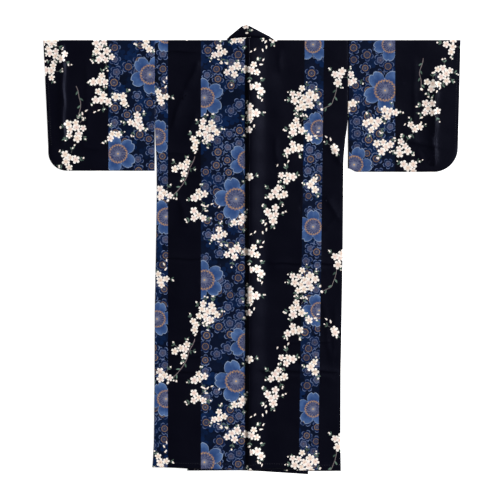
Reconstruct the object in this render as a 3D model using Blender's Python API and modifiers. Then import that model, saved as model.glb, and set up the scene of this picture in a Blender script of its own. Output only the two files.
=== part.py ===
"""Cotton yukata robe, spread flat on its front, built panel by panel.

The robe lies on z = 0 with its back side up and its collar towards +Y.  Sizes are in metres.
Panels are drawn in the robe's own frame, with x = 0 on the centre back seam and y = 0 on the
fold of the shoulders, and an empty carries them so that the middle of the robe is the origin.
Left and right are the wearer's, which are also the viewer's here.
"""

from collections import namedtuple
from math import pi

import bpy
import numpy as np

LEFT, RIGHT = -1, 1

# Cloth
WALL = 0.001
COLLAR_WALL = 0.002
LAYER_GAP = 0.0007
SEAM_GAP = 0.0003

# Body lengths and overlaps
FRONT_REACH = {LEFT: 0.189, RIGHT: 0.2015}
OVERLAP_START = 0.232
OVERLAP_TIP = 0.012
FRONT_HEM = {LEFT: 1.381, RIGHT: 1.392}
OVERLAP_HEM = {LEFT: (1.390, 1.402), RIGHT: (1.389, 1.390)}

# Neck and collar
NECK_HALF = {LEFT: 0.0753, RIGHT: 0.0804}
NECK_RISE = 0.0078
NECK_ROUNDING = 4
COLLAR_WIDTH = 0.066
COLLAR_END = 0.652
COLLAR_END_SLANT = 0.012
COLLAR_TURN = 0.012
COLLAR_TOP = {LEFT: (-0.0242, 0.0459), RIGHT: (-0.0015, 0.0460)}
COLLAR_PEAK = (-0.0125, 0.0500)
COLLAR_BULGE = (0.0010, 0.0034)

# Sleeves
ARMHOLE = 0.262
CUFF_OPENING = 0.338
SLEEVE_DEPTH = {LEFT: 0.4228, RIGHT: 0.4265}
SLEEVE_CORNER = {LEFT: 0.060, RIGHT: 0.078}
SLEEVE_REACH_TOP = {LEFT: 0.6663, RIGHT: 0.6809}
SLEEVE_REACH_LOW = {LEFT: 0.6505, RIGHT: 0.6722}
SLEEVE_INNER_RISE = {LEFT: 0.0, RIGHT: 0.012}
INNER_RISE_WIDTH = 0.030

# The ridge along the centre back seam, steep on the left and easy on the right
RIDGE_HEIGHT = 0.011
RIDGE_FOOT = {LEFT: 0.017, RIGHT: 0.062}

# How far beside a lower layer's edge the layer above still lies high, and how long it takes to sink
STEP_REACH = 0.014
STEP_FALL = 0.060

# Side seams: distance from the centre seam at each distance below the shoulder
SideRow = namedtuple("SideRow", "below left right")
SIDES = (
    SideRow(0.000, 0.3065, 0.3170),
    SideRow(0.262, 0.3065, 0.3170),
    SideRow(0.322, 0.3045, 0.3088),
    SideRow(0.387, 0.3010, 0.3023),
    SideRow(0.487, 0.3000, 0.3018),
    SideRow(0.678, 0.3030, 0.3005),
    SideRow(0.884, 0.3068, 0.2970),
    SideRow(1.091, 0.3075, 0.2936),
    SideRow(1.294, 0.3094, 0.2930),
    SideRow(1.400, 0.3150, 0.2948),
)

# Back hem: distance below the shoulder at each distance from the centre seam
HemRow = namedtuple("HemRow", "out left right")
BACK_HEM = (
    HemRow(0.000, 1.3895, 1.3895),
    HemRow(0.028, 1.3860, 1.3852),
    HemRow(0.082, 1.3858, 1.3850),
    HemRow(0.163, 1.3850, 1.3893),
    HemRow(0.200, 1.3838, 1.3896),
    HemRow(0.320, 1.3790, 1.3900),
)

# Height of the centre ridge along its length, as a share of RIDGE_HEIGHT
RidgeRow = namedtuple("RidgeRow", "below share")
RIDGE = (
    RidgeRow(0.000, 0.10),
    RidgeRow(0.030, 0.35),
    RidgeRow(0.090, 0.85),
    RidgeRow(0.300, 1.00),
    RidgeRow(1.150, 1.00),
    RidgeRow(1.390, 0.55),
)

# Storage creases that stand up as soft ridges, each from one end to the other
Crease = namedtuple("Crease", "start end height width")
CREASES = (
    Crease((-0.305, -1.071), (-0.020, -1.070), 0.0030, 0.020),
    Crease((0.045, -1.068), (0.290, -1.071), 0.0035, 0.020),
    Crease((-0.300, -0.706), (-0.030, -0.707), 0.0018, 0.020),
    Crease((0.060, -0.722), (0.295, -0.722), 0.0020, 0.020),
    Crease((-0.601, -0.010), (-0.600, -0.330), 0.0028, 0.014),
    Crease((0.598, -0.110), (0.600, -0.390), 0.0035, 0.014),
    Crease((0.290, -0.345), (0.262, -0.405), 0.0030, 0.026),
    Crease((0.292, -0.560), (0.246, -0.500), 0.0025, 0.026),
)
CREASE_ROWS = (0.706, 0.722, 1.070)
CREASE_SIDE = 0.024

# Grid lines across a body length, as distances from the centre seam.  The last one is its side.
NECK_COLUMNS = {
    LEFT: (SEAM_GAP / 2, 0.002, 0.005, 0.009, 0.013, 0.018, 0.030, 0.045, 0.060),
    RIGHT: (SEAM_GAP / 2, 0.004, 0.010, 0.018, 0.028, 0.040, 0.054),
}
SHOULDER_COLUMNS = {
    LEFT: (NECK_HALF[LEFT], 0.110, 0.150, 0.195, 0.212, 0.260),
    RIGHT: (NECK_HALF[RIGHT], 0.115, 0.150, 0.184, 0.200, 0.250),
}
FRONT_COLUMNS = {
    LEFT: (SEAM_GAP / 2, 0.060, 0.120, 0.180, 0.220, 0.265),
    RIGHT: (SEAM_GAP / 2, 0.070, 0.130, 0.184, 0.200, 0.250),
}
COLLAR_COLUMN = 0.018
OVERLAP_COLUMNS = 5
COLLAR_ACROSS = (0.0, 1 / 3, 2 / 3, 1.0)

# Grid rows down the cloth: the steps between them, and the rows nearest to neck, shoulder and hem
NECK_ROWS = (0.0, 0.018, 0.042)
NECK_FADE = 0.080
ROW_STEP = 0.055
FRONT_ROW_STEP = 0.075
FRONT_LONG_STEP = 0.160
FIRST_FRONT_ROW = 0.025
LAST_ROW = 1.345
TURN_STEPS = 4

# Grid lines of a sleeve: places along its bottom from its inner end, and steps round its corner
SLEEVE_LINES = (0.0, INNER_RISE_WIDTH, 0.090, 0.150, 0.205)
SLEEVE_ROWS = 8
CORNER_STEPS = 5
CORNER_HEADS = 0.6

PRINTED_NAVY = (0.012, 0.014, 0.026, 1.0)
CLOTH_ROUGHNESS = 0.85


def blend(start, end, share):
    """The point that lies the given share of the way from start to end."""
    return np.asarray(start, float) + (np.asarray(end, float) - np.asarray(start, float)) * share


def ease(value):
    """A smooth step from 0 to 1."""
    value = np.clip(value, 0.0, 1.0)
    return value * value * (3 - 2 * value)


def column(table, name):
    """One named column of a table."""
    return [getattr(row, name) for row in table]


def side_name(side):
    """Left or right, as the tables' columns and the pieces' names say it."""
    return "left" if side == LEFT else "right"


def side_out(side, below):
    """Distance of a side seam from the centre seam."""
    return np.interp(below, column(SIDES, "below"), column(SIDES, side_name(side)))


def back_hem(side, out):
    """How far the back hem lies below the shoulder."""
    return np.interp(out, column(BACK_HEM, "out"), column(BACK_HEM, side_name(side)))


def collar_seam(side, below):
    """x of the seam between one front and the collar, from the neck to the collar's end."""
    foot = side * (COLLAR_WIDTH - FRONT_REACH[side])
    neck = side * NECK_HALF[side]
    return np.interp(below, (0.0, OVERLAP_START, COLLAR_END), (neck, 0.0, foot))


def front_outline(side):
    """Plan outline of one front with its half of the collar."""
    down = column(SIDES, "below")
    points = [(side * side_out(side, below), -below) for below in down]
    hem = -OVERLAP_HEM[side][1]
    points += [(-side * FRONT_REACH[side], hem), (-side * FRONT_REACH[side], -COLLAR_END)]
    return points + [free_edge(side, OVERLAP_START), free_edge(side, 0.0), COLLAR_TOP[side]]


def collar_outline(side):
    """Plan outline of the half of the collar that lies under the robe."""
    downs = (0.0, OVERLAP_START, COLLAR_END)
    seam = [(float(collar_seam(side, below)), -below) for below in downs]
    free = [free_edge(side, below) for below in reversed(downs)]
    return seam + free + [COLLAR_TOP[side]]


def free_edge(side, below):
    """A point on the collar's free edge where it runs down a front."""
    return (float(collar_seam(side, below)) - side * COLLAR_WIDTH, -below)


def distance_to_line(x, y, start, end):
    """Distance of points from a straight line between two ends."""
    along_x, along_y = end[0] - start[0], end[1] - start[1]
    share = ((x - start[0]) * along_x + (y - start[1]) * along_y) / (along_x**2 + along_y**2)
    share = np.clip(share, 0.0, 1.0)
    return np.hypot(x - start[0] - share * along_x, y - start[1] - share * along_y)


def outside_distance(x, y, outline):
    """How far points lie outside an outline, 0 within it."""
    nearest = np.full(np.shape(x), np.inf)
    inside = np.zeros(np.shape(x), bool)
    for start, end in zip(outline, outline[1:] + outline[:1]):
        nearest = np.minimum(nearest, distance_to_line(x, y, start, end))
        if start[1] != end[1]:
            crossing = start[0] + (y - start[1]) * (end[0] - start[0]) / (end[1] - start[1])
            inside ^= ((start[1] > y) != (end[1] > y)) & (x < crossing)
    return np.where(inside, 0.0, nearest)


def cover(x, y, outline):
    """1 over an outline and just beside it, easing to 0 further out."""
    return ease(1 - (outside_distance(x, y, outline) - STEP_REACH) / STEP_FALL)


def front_lift(side, x, y):
    """How much one front and its half of the collar lift whatever lies on them."""
    cloth = (WALL + LAYER_GAP) * cover(x, y, front_outline(side))
    return cloth + (COLLAR_WALL - WALL) * cover(x, y, collar_outline(side))


def bed(x, y, fronts_below):
    """Height of the surface that a layer lies on: the floor, and the fronts under it."""
    x, y = np.asarray(x, float), np.asarray(y, float)
    height = np.zeros(np.shape(x))
    for side in (LEFT, RIGHT)[:fronts_below]:
        height = height + front_lift(side, x, y)
    return height


def relief(x, y):
    """Height of the centre ridge and the creases in the layer that lies on top."""
    x, y = np.asarray(x, float), np.asarray(y, float)
    foot = np.where(x < 0, RIDGE_FOOT[LEFT], RIDGE_FOOT[RIGHT])
    across = 0.5 + 0.5 * np.cos(pi * np.clip(np.abs(x) / foot, 0, 1))
    height = RIDGE_HEIGHT * across * np.interp(-y, column(RIDGE, "below"), column(RIDGE, "share"))
    for crease in CREASES:
        away = distance_to_line(x, y, crease.start, crease.end)
        height = height + crease.height * np.exp(-((away / crease.width) ** 2))
    return height


def layer(x, y, fronts_below, wall=WALL):
    """Points of a panel's middle surface where it lies on the floor or on the fronts."""
    height = bed(x, y, fronts_below) + wall / 2
    if fronts_below == 2:
        height = height + relief(x, y)
    return np.stack(np.broadcast_arrays(x, y, height), axis=-1)


def turned_under(upper, lower, outward, wall, steps=TURN_STEPS):
    """Rows of points that carry a sheet round a fold, between its upper and lower edge rows.

    Both edge rows have the plan of the fold's outermost line.  The rows that come back bulge
    out to half a wall inside that line, so that the wall's own face reaches it.
    """
    radius = (upper[:, 2] - lower[:, 2]) / 2
    middle = (upper[:, 2] + lower[:, 2]) / 2
    rows = []
    for step in range(steps + 1):
        turn = pi * step / steps
        row = upper.copy()
        row[:, :2] += outward * (radius * (np.sin(turn) - 1) - wall / 2)[:, None]
        row[:, 2] = middle + radius * np.cos(turn)
        rows.append(row)
    return rows


def cloth(name, sections, wall, closed=False):
    """One piece of cloth: a sheet through rows of points, given its wall.

    Where a row is shorter than the one before it, the sheet goes on from the row's outer end.
    """
    starts = np.cumsum([0] + [len(section) for section in sections])
    faces = []
    for row in range(len(sections) - 1):
        across = min(len(sections[row]), len(sections[row + 1]))
        upper, lower = starts[row + 1] - across, starts[row + 2] - across
        for here in range(across if closed else across - 1):
            there = (here + 1) % across
            faces.append((upper + here, upper + there, lower + there, lower + here))
    mesh = bpy.data.meshes.new(name)
    mesh.from_pydata(np.vstack(sections).tolist(), [], [[int(v) for v in f] for f in faces])
    mesh.shade_smooth()
    piece = bpy.data.objects.new(name, mesh)
    shell = piece.modifiers.new("Wall", "SOLIDIFY")
    shell.thickness = wall
    shell.offset = 0.0
    shell.use_even_offset = True
    finish = bpy.data.materials.new(name + "_cotton")
    finish.use_nodes = True
    shader = finish.node_tree.nodes["Principled BSDF"]
    shader.inputs["Base Color"].default_value = PRINTED_NAVY
    shader.inputs["Roughness"].default_value = CLOTH_ROUGHNESS
    shader.inputs["Metallic"].default_value = 0.0
    mesh.materials.append(finish)
    return piece


def spaced(start, stop, step):
    """Distances from start to stop, evenly spaced and no more than a step apart."""
    return np.linspace(start, stop, int(np.ceil((stop - start) / step)) + 1)


def back_rows():
    """Distances below the shoulder of the back's grid rows, closer together at the creases."""
    near = [row + shift for row in CREASE_ROWS for shift in (-CREASE_SIDE, 0.0, CREASE_SIDE)]
    even = spaced(NECK_FADE, LAST_ROW, ROW_STEP)
    clear = [row for row in even if min(abs(row - other) for other in near) > ROW_STEP / 3]
    rows = sorted(clear + near)
    apart = [row for row, after in zip(rows, rows[1:]) if after - row > CREASE_SIDE / 2]
    return list(NECK_ROWS) + apart + rows[-1:]


def neck_rise(side, out):
    """How far the back neckline lies above the line of the shoulders."""
    return NECK_RISE * np.clip(1 - (out / NECK_HALF[side]) ** NECK_ROUNDING, 0, None)


def back_row(side, below):
    """Plan points across the back of a body length, bent round the neck where it is near."""
    out = np.array(NECK_COLUMNS[side] + SHOULDER_COLUMNS[side] + (float(side_out(side, below)),))
    near_neck = np.clip(1 - below / NECK_FADE, 0, 1)
    return side * out, -below + near_neck * neck_rise(side, out)


def front_row(side, below, inner):
    """Plan points across the front of a body length, from its seam with overlap or collar."""
    outer = float(side_out(side, below))
    share = inner / NECK_HALF[side]
    out = blend(FRONT_COLUMNS[side] + (outer,), SHOULDER_COLUMNS[side] + (outer,), share)
    out[0] = inner
    return side * out, np.full(len(out), -below)


def body_length(side):
    """A body length from the back hem up over the shoulder and down to the front hem."""
    on_front = 0 if side == LEFT else 1
    hem_x, hem_y = back_row(side, BACK_HEM[0].left)
    sections = [layer(hem_x, -back_hem(side, np.abs(hem_x)), 2)]
    sections += [layer(*back_row(side, below), 2) for below in back_rows()[:0:-1]]
    fold = front_row(side, 0.0, NECK_HALF[side])
    turn = turned_under(layer(*fold, 2), layer(*fold, on_front), np.array((0.0, 1.0)), WALL)
    neckline = layer(*back_row(side, 0.0), 2)[: len(NECK_COLUMNS[side])]
    sections.append(np.vstack([neckline, turn[0]]))
    sections += turn[1:]
    high = list(spaced(FIRST_FRONT_ROW, OVERLAP_START, FRONT_ROW_STEP))
    middle = list(spaced(OVERLAP_START, COLLAR_END + FRONT_ROW_STEP, FRONT_ROW_STEP))[1:]
    long = list(spaced(middle[-1], FRONT_HEM[side], FRONT_LONG_STEP))[1:]
    for below in high + middle + long:
        inner = max(SEAM_GAP / 2, side * float(collar_seam(side, below)))
        sections.append(layer(*front_row(side, below, inner), on_front))
    return cloth("body_" + side_name(side), sections, WALL)


def overlap(side):
    """The narrow front panel between the front of a body length and the collar."""
    inner, outer = SEAM_GAP / 2, FRONT_REACH[side]
    seam_foot = COLLAR_END - COLLAR_END_SLANT
    shares = np.linspace(0, 1, OVERLAP_COLUMNS)
    sections = []
    for below in spaced(OVERLAP_START + OVERLAP_TIP, seam_foot, FRONT_ROW_STEP):
        edge = -side * float(collar_seam(side, below)) - SEAM_GAP
        sections.append((blend(inner, edge, shares), np.full(len(shares), -below - SEAM_GAP)))
    for below in spaced(COLLAR_END, LAST_ROW, FRONT_LONG_STEP):
        sections.append((blend(inner, outer, shares), np.full(len(shares), -below - SEAM_GAP)))
    sections.append((blend(inner, outer, shares), -blend(*OVERLAP_HEM[side], shares)))
    on_front = 0 if side == LEFT else 1
    rows = [layer(-side * out, y, on_front) for out, y in sections]
    return cloth("overlap_" + side_name(side), rows, WALL)


def collar_points(seam, free, fronts_below):
    """Points across the collar between its seam and its free edge."""
    across = np.array([blend(seam, free, share) for share in COLLAR_ACROSS])
    return layer(across[:, 0], across[:, 1], fronts_below, COLLAR_WALL)


def collar_fold(side):
    """Rows that carry the collar round the neck's side, from behind the neck to the front."""
    out, up = COLLAR_BULGE
    seam, free = np.array((side * (NECK_HALF[side] + out), up)), np.array(COLLAR_TOP[side])
    run = free - seam
    outward = np.array((side * abs(run[1]), abs(run[0]))) / np.hypot(*run)
    upper = collar_points(seam, free, 2)
    lower = collar_points(seam, free, 0 if side == LEFT else 1)
    return turned_under(upper, lower, outward, COLLAR_WALL)


def collar_leg(side, fold):
    """Rows of the collar from its end up a front to the fold beside the neck."""
    on_front = 0 if side == LEFT else 1
    away = np.array((-side * SEAM_GAP, 0.0))
    pairs = []
    for below in spaced(COLLAR_TURN, COLLAR_END, FRONT_ROW_STEP)[::-1]:
        up = COLLAR_END_SLANT if below == COLLAR_END else 0.0
        seam = np.array((float(collar_seam(side, below - up)), up - below))
        pairs.append((seam + away, free_edge(side, below)))
    last_seam, last_free = pairs[-1]
    for share in (1 / 3, 2 / 3):
        pairs.append((blend(last_seam, fold[0, :2], share), blend(last_free, fold[-1, :2], share)))
    return [collar_points(*pair, on_front) for pair in pairs]


def collar_back(left_fold, right_fold):
    """Rows of the collar behind the neck, between its two folds."""
    places = {side: [c for c in NECK_COLUMNS[side] if c >= COLLAR_COLUMN] for side in (LEFT, RIGHT)}
    outs = [-out for out in reversed(places[LEFT])] + [0.0] + places[RIGHT]
    rows = []
    for number, x in enumerate(outs, 1):
        seam = (x, SEAM_GAP + float(neck_rise(LEFT if x < 0 else RIGHT, abs(x))))
        place = 2 * number / (len(outs) + 1)
        if place < 1:
            free = blend(left_fold[-1, :2], COLLAR_PEAK, place)
        else:
            free = blend(COLLAR_PEAK, right_fold[-1, :2], place - 1)
        rows.append(collar_points(seam, free, 2))
    return rows


def collar():
    """The collar: up the left front, folded over, round the neck and down the right front."""
    left, right = collar_fold(LEFT), collar_fold(RIGHT)
    sections = collar_leg(LEFT, left[-1]) + left[::-1]
    sections += collar_back(left[0], right[0])
    sections += right + collar_leg(RIGHT, right[-1])[::-1]
    return cloth("collar", sections, COLLAR_WALL)


def sleeve_foot(side):
    """Head and foot of each line across a sleeve, with the way out of the cloth at its foot."""
    inner = float(side_out(side, ARMHOLE)) + SEAM_GAP
    low, reach, radius = SLEEVE_DEPTH[side], SLEEVE_REACH_LOW[side], SLEEVE_CORNER[side]
    places = [inner + out for out in SLEEVE_LINES] + [reach - radius]
    lines = []
    for out in places:
        rise = SLEEVE_INNER_RISE[side] * (1 - ease((out - inner) / INNER_RISE_WIDTH))
        lines.append(((out, 0.0), (out, rise - low), (0.0, -1.0)))
    head_start, head_end = places[-1], SLEEVE_REACH_TOP[side]
    angles = np.linspace(0, pi / 2, CORNER_STEPS + 1)[1:]
    for number, angle in enumerate(angles, 1):
        head = blend(head_start, head_end, CORNER_HEADS * number / len(angles))
        way = (np.sin(angle), -np.cos(angle))
        foot = (reach - radius + radius * way[0], radius - low + radius * way[1])
        lines.append(((float(head), 0.0), foot, way))
    lines.append(((head_end, 0.0), (reach, -CUFF_OPENING), (1.0, 0.0)))
    return lines


def sleeve(side):
    """A sleeve: one sheet folded at the top and closed along the bottom and round the corner."""
    shares = np.linspace(0, 1, SLEEVE_ROWS + 1)
    inset = (WALL + LAYER_GAP) / 2 + WALL / 2
    sections = []
    for head, foot, way in sleeve_foot(side):
        mirror = np.array((side, 1.0))
        head, foot, way = (np.array(item) * mirror for item in (head, foot, way))
        line = np.array([blend(head - (0, inset), foot - way * inset, share) for share in shares])
        upper = np.column_stack([line, WALL * 1.5 + LAYER_GAP + relief(line[:, 0], line[:, 1])])
        lower = np.column_stack([line, np.full(len(line), WALL / 2)])[::-1]
        ring = [upper, fold_points(upper[-1], lower[0], way), lower]
        ring.append(fold_points(lower[-1], upper[0], np.array((0.0, 1.0))))
        sections.append(np.vstack(ring))
    return cloth("sleeve_" + side_name(side), sections, WALL, closed=True)


def fold_points(start, end, outward):
    """Points that carry one line of a sheet round a fold, without its two ends."""
    points = []
    for step in range(1, TURN_STEPS):
        turn = pi * step / TURN_STEPS
        point = blend(start, end, (1 - np.cos(turn)) / 2)
        point[:2] += outward * abs(end[2] - start[2]) / 2 * np.sin(turn)
        points.append(point)
    return np.array(points)


def build():
    """Clears the scene and makes the robe."""
    for old in list(bpy.data.objects):
        bpy.data.objects.remove(old)
    robe = bpy.data.collections.new("cotton_yukata_robe")
    bpy.context.scene.collection.children.link(robe)
    carrier = bpy.data.objects.new("yukata_middle", None)
    right, left = SLEEVE_REACH_TOP[RIGHT], SLEEVE_REACH_TOP[LEFT]
    carrier.location = ((left - right) / 2, (OVERLAP_HEM[LEFT][1] - COLLAR_PEAK[1]) / 2, 0.0)
    robe.objects.link(carrier)
    pieces = [make(side) for make in (body_length, overlap, sleeve) for side in (LEFT, RIGHT)]
    for piece in pieces + [collar()]:
        piece.parent = carrier
        robe.objects.link(piece)


build()
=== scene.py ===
"""Looks of a printed cotton yukata robe that lies spread flat on its front, with its back up.

Every panel is cut from a flat chart of the printed cloth.  The chart holds the stripes and the
flowers as outlines, and the panel's own shape.  It is cut into small faces and then laid in
place: over the shoulders, round the neck, and on the layers below it.

Charts are drawn in the robe's own frame, in metres.  x is 0 on the centre back seam.  The other
direction is 0 on the fold of the shoulders, goes down to the back hem below 0 and down to the
front hem above 0, so that the cloth is one flat length.  Left and right are the wearer's.
"""

from __future__ import annotations

import logging
from collections.abc import Callable
from dataclasses import dataclass, field, replace
from enum import Enum
from math import cos, hypot, pi, sin, tau
from typing import ClassVar

import bpy
import numpy as np
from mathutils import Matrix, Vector
from mathutils.geometry import delaunay_2d_cdt


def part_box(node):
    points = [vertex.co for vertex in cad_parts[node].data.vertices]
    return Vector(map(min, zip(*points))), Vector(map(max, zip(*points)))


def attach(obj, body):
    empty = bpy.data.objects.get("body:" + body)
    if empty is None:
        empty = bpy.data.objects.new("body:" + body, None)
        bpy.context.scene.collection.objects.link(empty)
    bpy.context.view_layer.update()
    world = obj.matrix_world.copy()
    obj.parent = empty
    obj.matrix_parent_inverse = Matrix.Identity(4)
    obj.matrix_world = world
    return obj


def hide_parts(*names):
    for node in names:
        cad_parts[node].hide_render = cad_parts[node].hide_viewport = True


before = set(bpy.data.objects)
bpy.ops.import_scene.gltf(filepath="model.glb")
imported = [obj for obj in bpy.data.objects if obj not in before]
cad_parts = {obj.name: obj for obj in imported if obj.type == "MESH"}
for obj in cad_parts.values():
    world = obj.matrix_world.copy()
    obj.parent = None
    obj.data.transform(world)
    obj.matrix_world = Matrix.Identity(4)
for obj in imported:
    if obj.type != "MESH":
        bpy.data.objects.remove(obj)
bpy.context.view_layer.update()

log = logging.getLogger("yukata")

# Thickness of the cloth, and height of the middle of a layer over what it lies on.
CLOTH = 0.0006
LIE = 0.0005
DOUBLED_LIE = 0.0010
# How much a layer raises what lies on it, and how much more the doubled collar does.
LAYER = 0.0017
DOUBLED_LAYER = 0.0010
# Gap between two edges that are sewn together.
SEAM = 0.00001
# Distance from the shoulder fold to the back hem, and length of one repeat of the print.
BODY = 1.39
PRINT_REPEAT = 0.588
# Turn from one blossom of a cluster to the next, which packs them evenly.
GOLDEN_TURN = 2.39996

Height = Callable[[np.ndarray, np.ndarray], np.ndarray]
Socket = bpy.types.NodeSocket


class Side(Enum):
    """The wearer's left and right, as the direction of x."""

    LEFT = -1
    RIGHT = 1

    @property
    def word(self) -> str:
        """The side as the pieces' names say it."""
        return self.name.lower()


class Motif(Enum):
    """What a patch of the print shows.  The value is the number that the material reads."""

    GROUND = 0
    SHADOW_FLOWER = 1
    LACE_FLOWER = 2
    RING_FLOWER = 3
    LARGE_FLOWER = 4
    STEM = 5
    LEAF = 6
    PETAL = 7
    BUD = 8
    BLOSSOM = 9

    @property
    def in_stripes(self) -> bool:
        """Whether it is printed in the blue stripes only."""
        return self in (Motif.SHADOW_FLOWER, Motif.LACE_FLOWER, Motif.RING_FLOWER, Motif.LARGE_FLOWER)


def ease(value: np.ndarray) -> np.ndarray:
    """A smooth step from 0 to 1."""
    value = np.clip(value, 0.0, 1.0)
    return value * value * (3 - 2 * value)


def spaced(start: float, stop: float, step: float) -> np.ndarray:
    """Numbers from start to stop, evenly spaced and no more than a step apart."""
    return np.linspace(start, stop, max(2, int(np.ceil(abs(stop - start) / step)) + 1))


def heading(turn: float) -> np.ndarray:
    """A step of length 1 in a direction given in radians."""
    return np.array((cos(turn), sin(turn)))


def turned(points: np.ndarray, turn: float) -> np.ndarray:
    """Points turned about 0 by an angle in radians."""
    x, y = points.T
    return np.column_stack([x * cos(turn) - y * sin(turn), x * sin(turn) + y * cos(turn)])


def signed_area(outline: np.ndarray) -> float:
    """Area inside an outline, below 0 where it runs clockwise."""
    x, y = outline.T
    return float(np.dot(x, np.roll(y, -1)) - np.dot(y, np.roll(x, -1))) / 2


def anticlockwise(outline: np.ndarray) -> np.ndarray:
    """The same outline, run anticlockwise."""
    return outline if signed_area(outline) > 0 else outline[::-1]


def linked(name: str, data: bpy.types.ID) -> bpy.types.Object:
    """A new object in the scene.

    Args:
        name: Name of the object.
        data: Its mesh, lamp or camera.

    Returns:
        The object.
    """
    item = bpy.data.objects.new(name, data)
    bpy.context.scene.collection.objects.link(item)
    return item


def distance_to_line(x: np.ndarray, y: np.ndarray, start: tuple, end: tuple) -> np.ndarray:
    """Distance of points from a straight line between two ends.

    Args:
        x: Places across.
        y: Places along.
        start: One end of the line.
        end: The other end.

    Returns:
        One distance for each point.
    """
    along_x, along_y = end[0] - start[0], end[1] - start[1]
    share = ((x - start[0]) * along_x + (y - start[1]) * along_y) / (along_x**2 + along_y**2)
    share = np.clip(share, 0.0, 1.0)
    return np.hypot(x - start[0] - share * along_x, y - start[1] - share * along_y)


def distance_outside(x: np.ndarray, y: np.ndarray, outline: list[tuple]) -> np.ndarray:
    """Distance of points from an outline, 0 for points within it.

    Args:
        x: Places across.
        y: Places along.
        outline: Corners of the outline in order.

    Returns:
        One distance for each point.
    """
    nearest = np.full(np.shape(x), np.inf)
    inside = np.zeros(np.shape(x), bool)
    for start, end in zip(outline, outline[1:] + outline[:1]):
        nearest = np.minimum(nearest, distance_to_line(x, y, start, end))
        if start[1] != end[1]:
            crossing = start[0] + (y - start[1]) * (end[0] - start[0]) / (end[1] - start[1])
            inside ^= ((start[1] > y) != (end[1] > y)) & (x < crossing)
    return np.where(inside, 0.0, nearest)


@dataclass(frozen=True)
class Cut:
    """The plan of the robe as it lies: where its seams, hems, neckline and collar run."""

    side_below: tuple = (0.0, 0.262, 0.322, 0.387, 0.487, 0.678, 0.884, 1.091, 1.294, 1.400)
    side_left: tuple = (0.3065, 0.3065, 0.3045, 0.3010, 0.3, 0.3030, 0.3068, 0.3075, 0.3094, 0.3150)
    side_right: tuple = (0.317, 0.317, 0.3088, 0.3023, 0.3018, 0.3005, 0.297, 0.2936, 0.293, 0.2948)
    hem_out: tuple = (0.0, 0.028, 0.082, 0.163, 0.200, 0.320)
    hem_left: tuple = (1.3895, 1.3860, 1.3858, 1.3850, 1.3838, 1.3790)
    hem_right: tuple = (1.3895, 1.3852, 1.3850, 1.3893, 1.3896, 1.3900)
    front_hem: tuple = (1.381, 1.392)
    front_reach: tuple = (0.189, 0.2015)
    overlap_start: float = 0.232
    overlap_tip: float = 0.012
    overlap_hem: tuple = ((1.390, 1.402), (1.389, 1.390))
    neck_half: tuple = (0.0753, 0.0804)
    neck_rise: float = 0.0078
    collar_width: float = 0.066
    collar_end: float = 0.652
    collar_slant: float = 0.012
    collar_top: tuple = ((-0.0242, 0.0459), (-0.0015, 0.0460))
    collar_peak: tuple = (-0.0125, 0.0500)

    def of(self, side: Side, pair: tuple) -> float | tuple:
        """The left or the right one of a pair."""
        return pair[0] if side is Side.LEFT else pair[1]

    def side_out(self, side: Side, below: np.ndarray) -> np.ndarray:
        """Distance of a side seam from the centre seam."""
        return np.interp(below, self.side_below, self.of(side, (self.side_left, self.side_right)))

    def back_hem(self, side: Side, out: np.ndarray) -> np.ndarray:
        """How far the back hem lies below the shoulder."""
        return np.interp(out, self.hem_out, self.of(side, (self.hem_left, self.hem_right)))

    def neckline(self, side: Side, out: np.ndarray) -> np.ndarray:
        """How far the back neckline lies above the shoulder."""
        share = np.clip(np.asarray(out) / self.of(side, self.neck_half), 0, 1)
        return self.neck_rise * (1 - share**4)

    def collar_seam(self, side: Side, below: np.ndarray) -> np.ndarray:
        """Where the seam between one front and the collar runs.

        Args:
            side: The wearer's left or right front.
            below: Places below the shoulder.

        Returns:
            x of the seam at each place.
        """
        neck = side.value * self.of(side, self.neck_half)
        foot = side.value * (self.collar_width - self.of(side, self.front_reach))
        return np.interp(below, (0.0, self.overlap_start, self.collar_end), (neck, 0.0, foot))

    def free_edge(self, side: Side, below: float) -> tuple:
        """A point on the collar's free edge where it runs down a front."""
        return (float(self.collar_seam(side, below)) - side.value * self.collar_width, -below)

    def front_outline(self, side: Side) -> list[tuple]:
        """Plan outline of one front with its half of the collar.

        Args:
            side: The wearer's left or right front.

        Returns:
            The corners in order.
        """
        points = [(side.value * float(self.side_out(side, b)), -b) for b in self.side_below]
        reach = -side.value * self.of(side, self.front_reach)
        points += [(reach, -self.of(side, self.overlap_hem)[1]), (reach, -self.collar_end)]
        points += [self.free_edge(side, self.overlap_start), self.free_edge(side, 0.0)]
        return points + [self.of(side, self.collar_top)]

    def collar_outline(self, side: Side) -> list[tuple]:
        """Plan outline of the half of the collar that lies under the robe.

        Args:
            side: The front on which it lies.

        Returns:
            The corners in order.
        """
        downs = (0.0, self.overlap_start, self.collar_end)
        seam = [(float(self.collar_seam(side, below)), -below) for below in downs]
        free = [self.free_edge(side, below) for below in reversed(downs)]
        return seam + free + [self.of(side, self.collar_top)]


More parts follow.
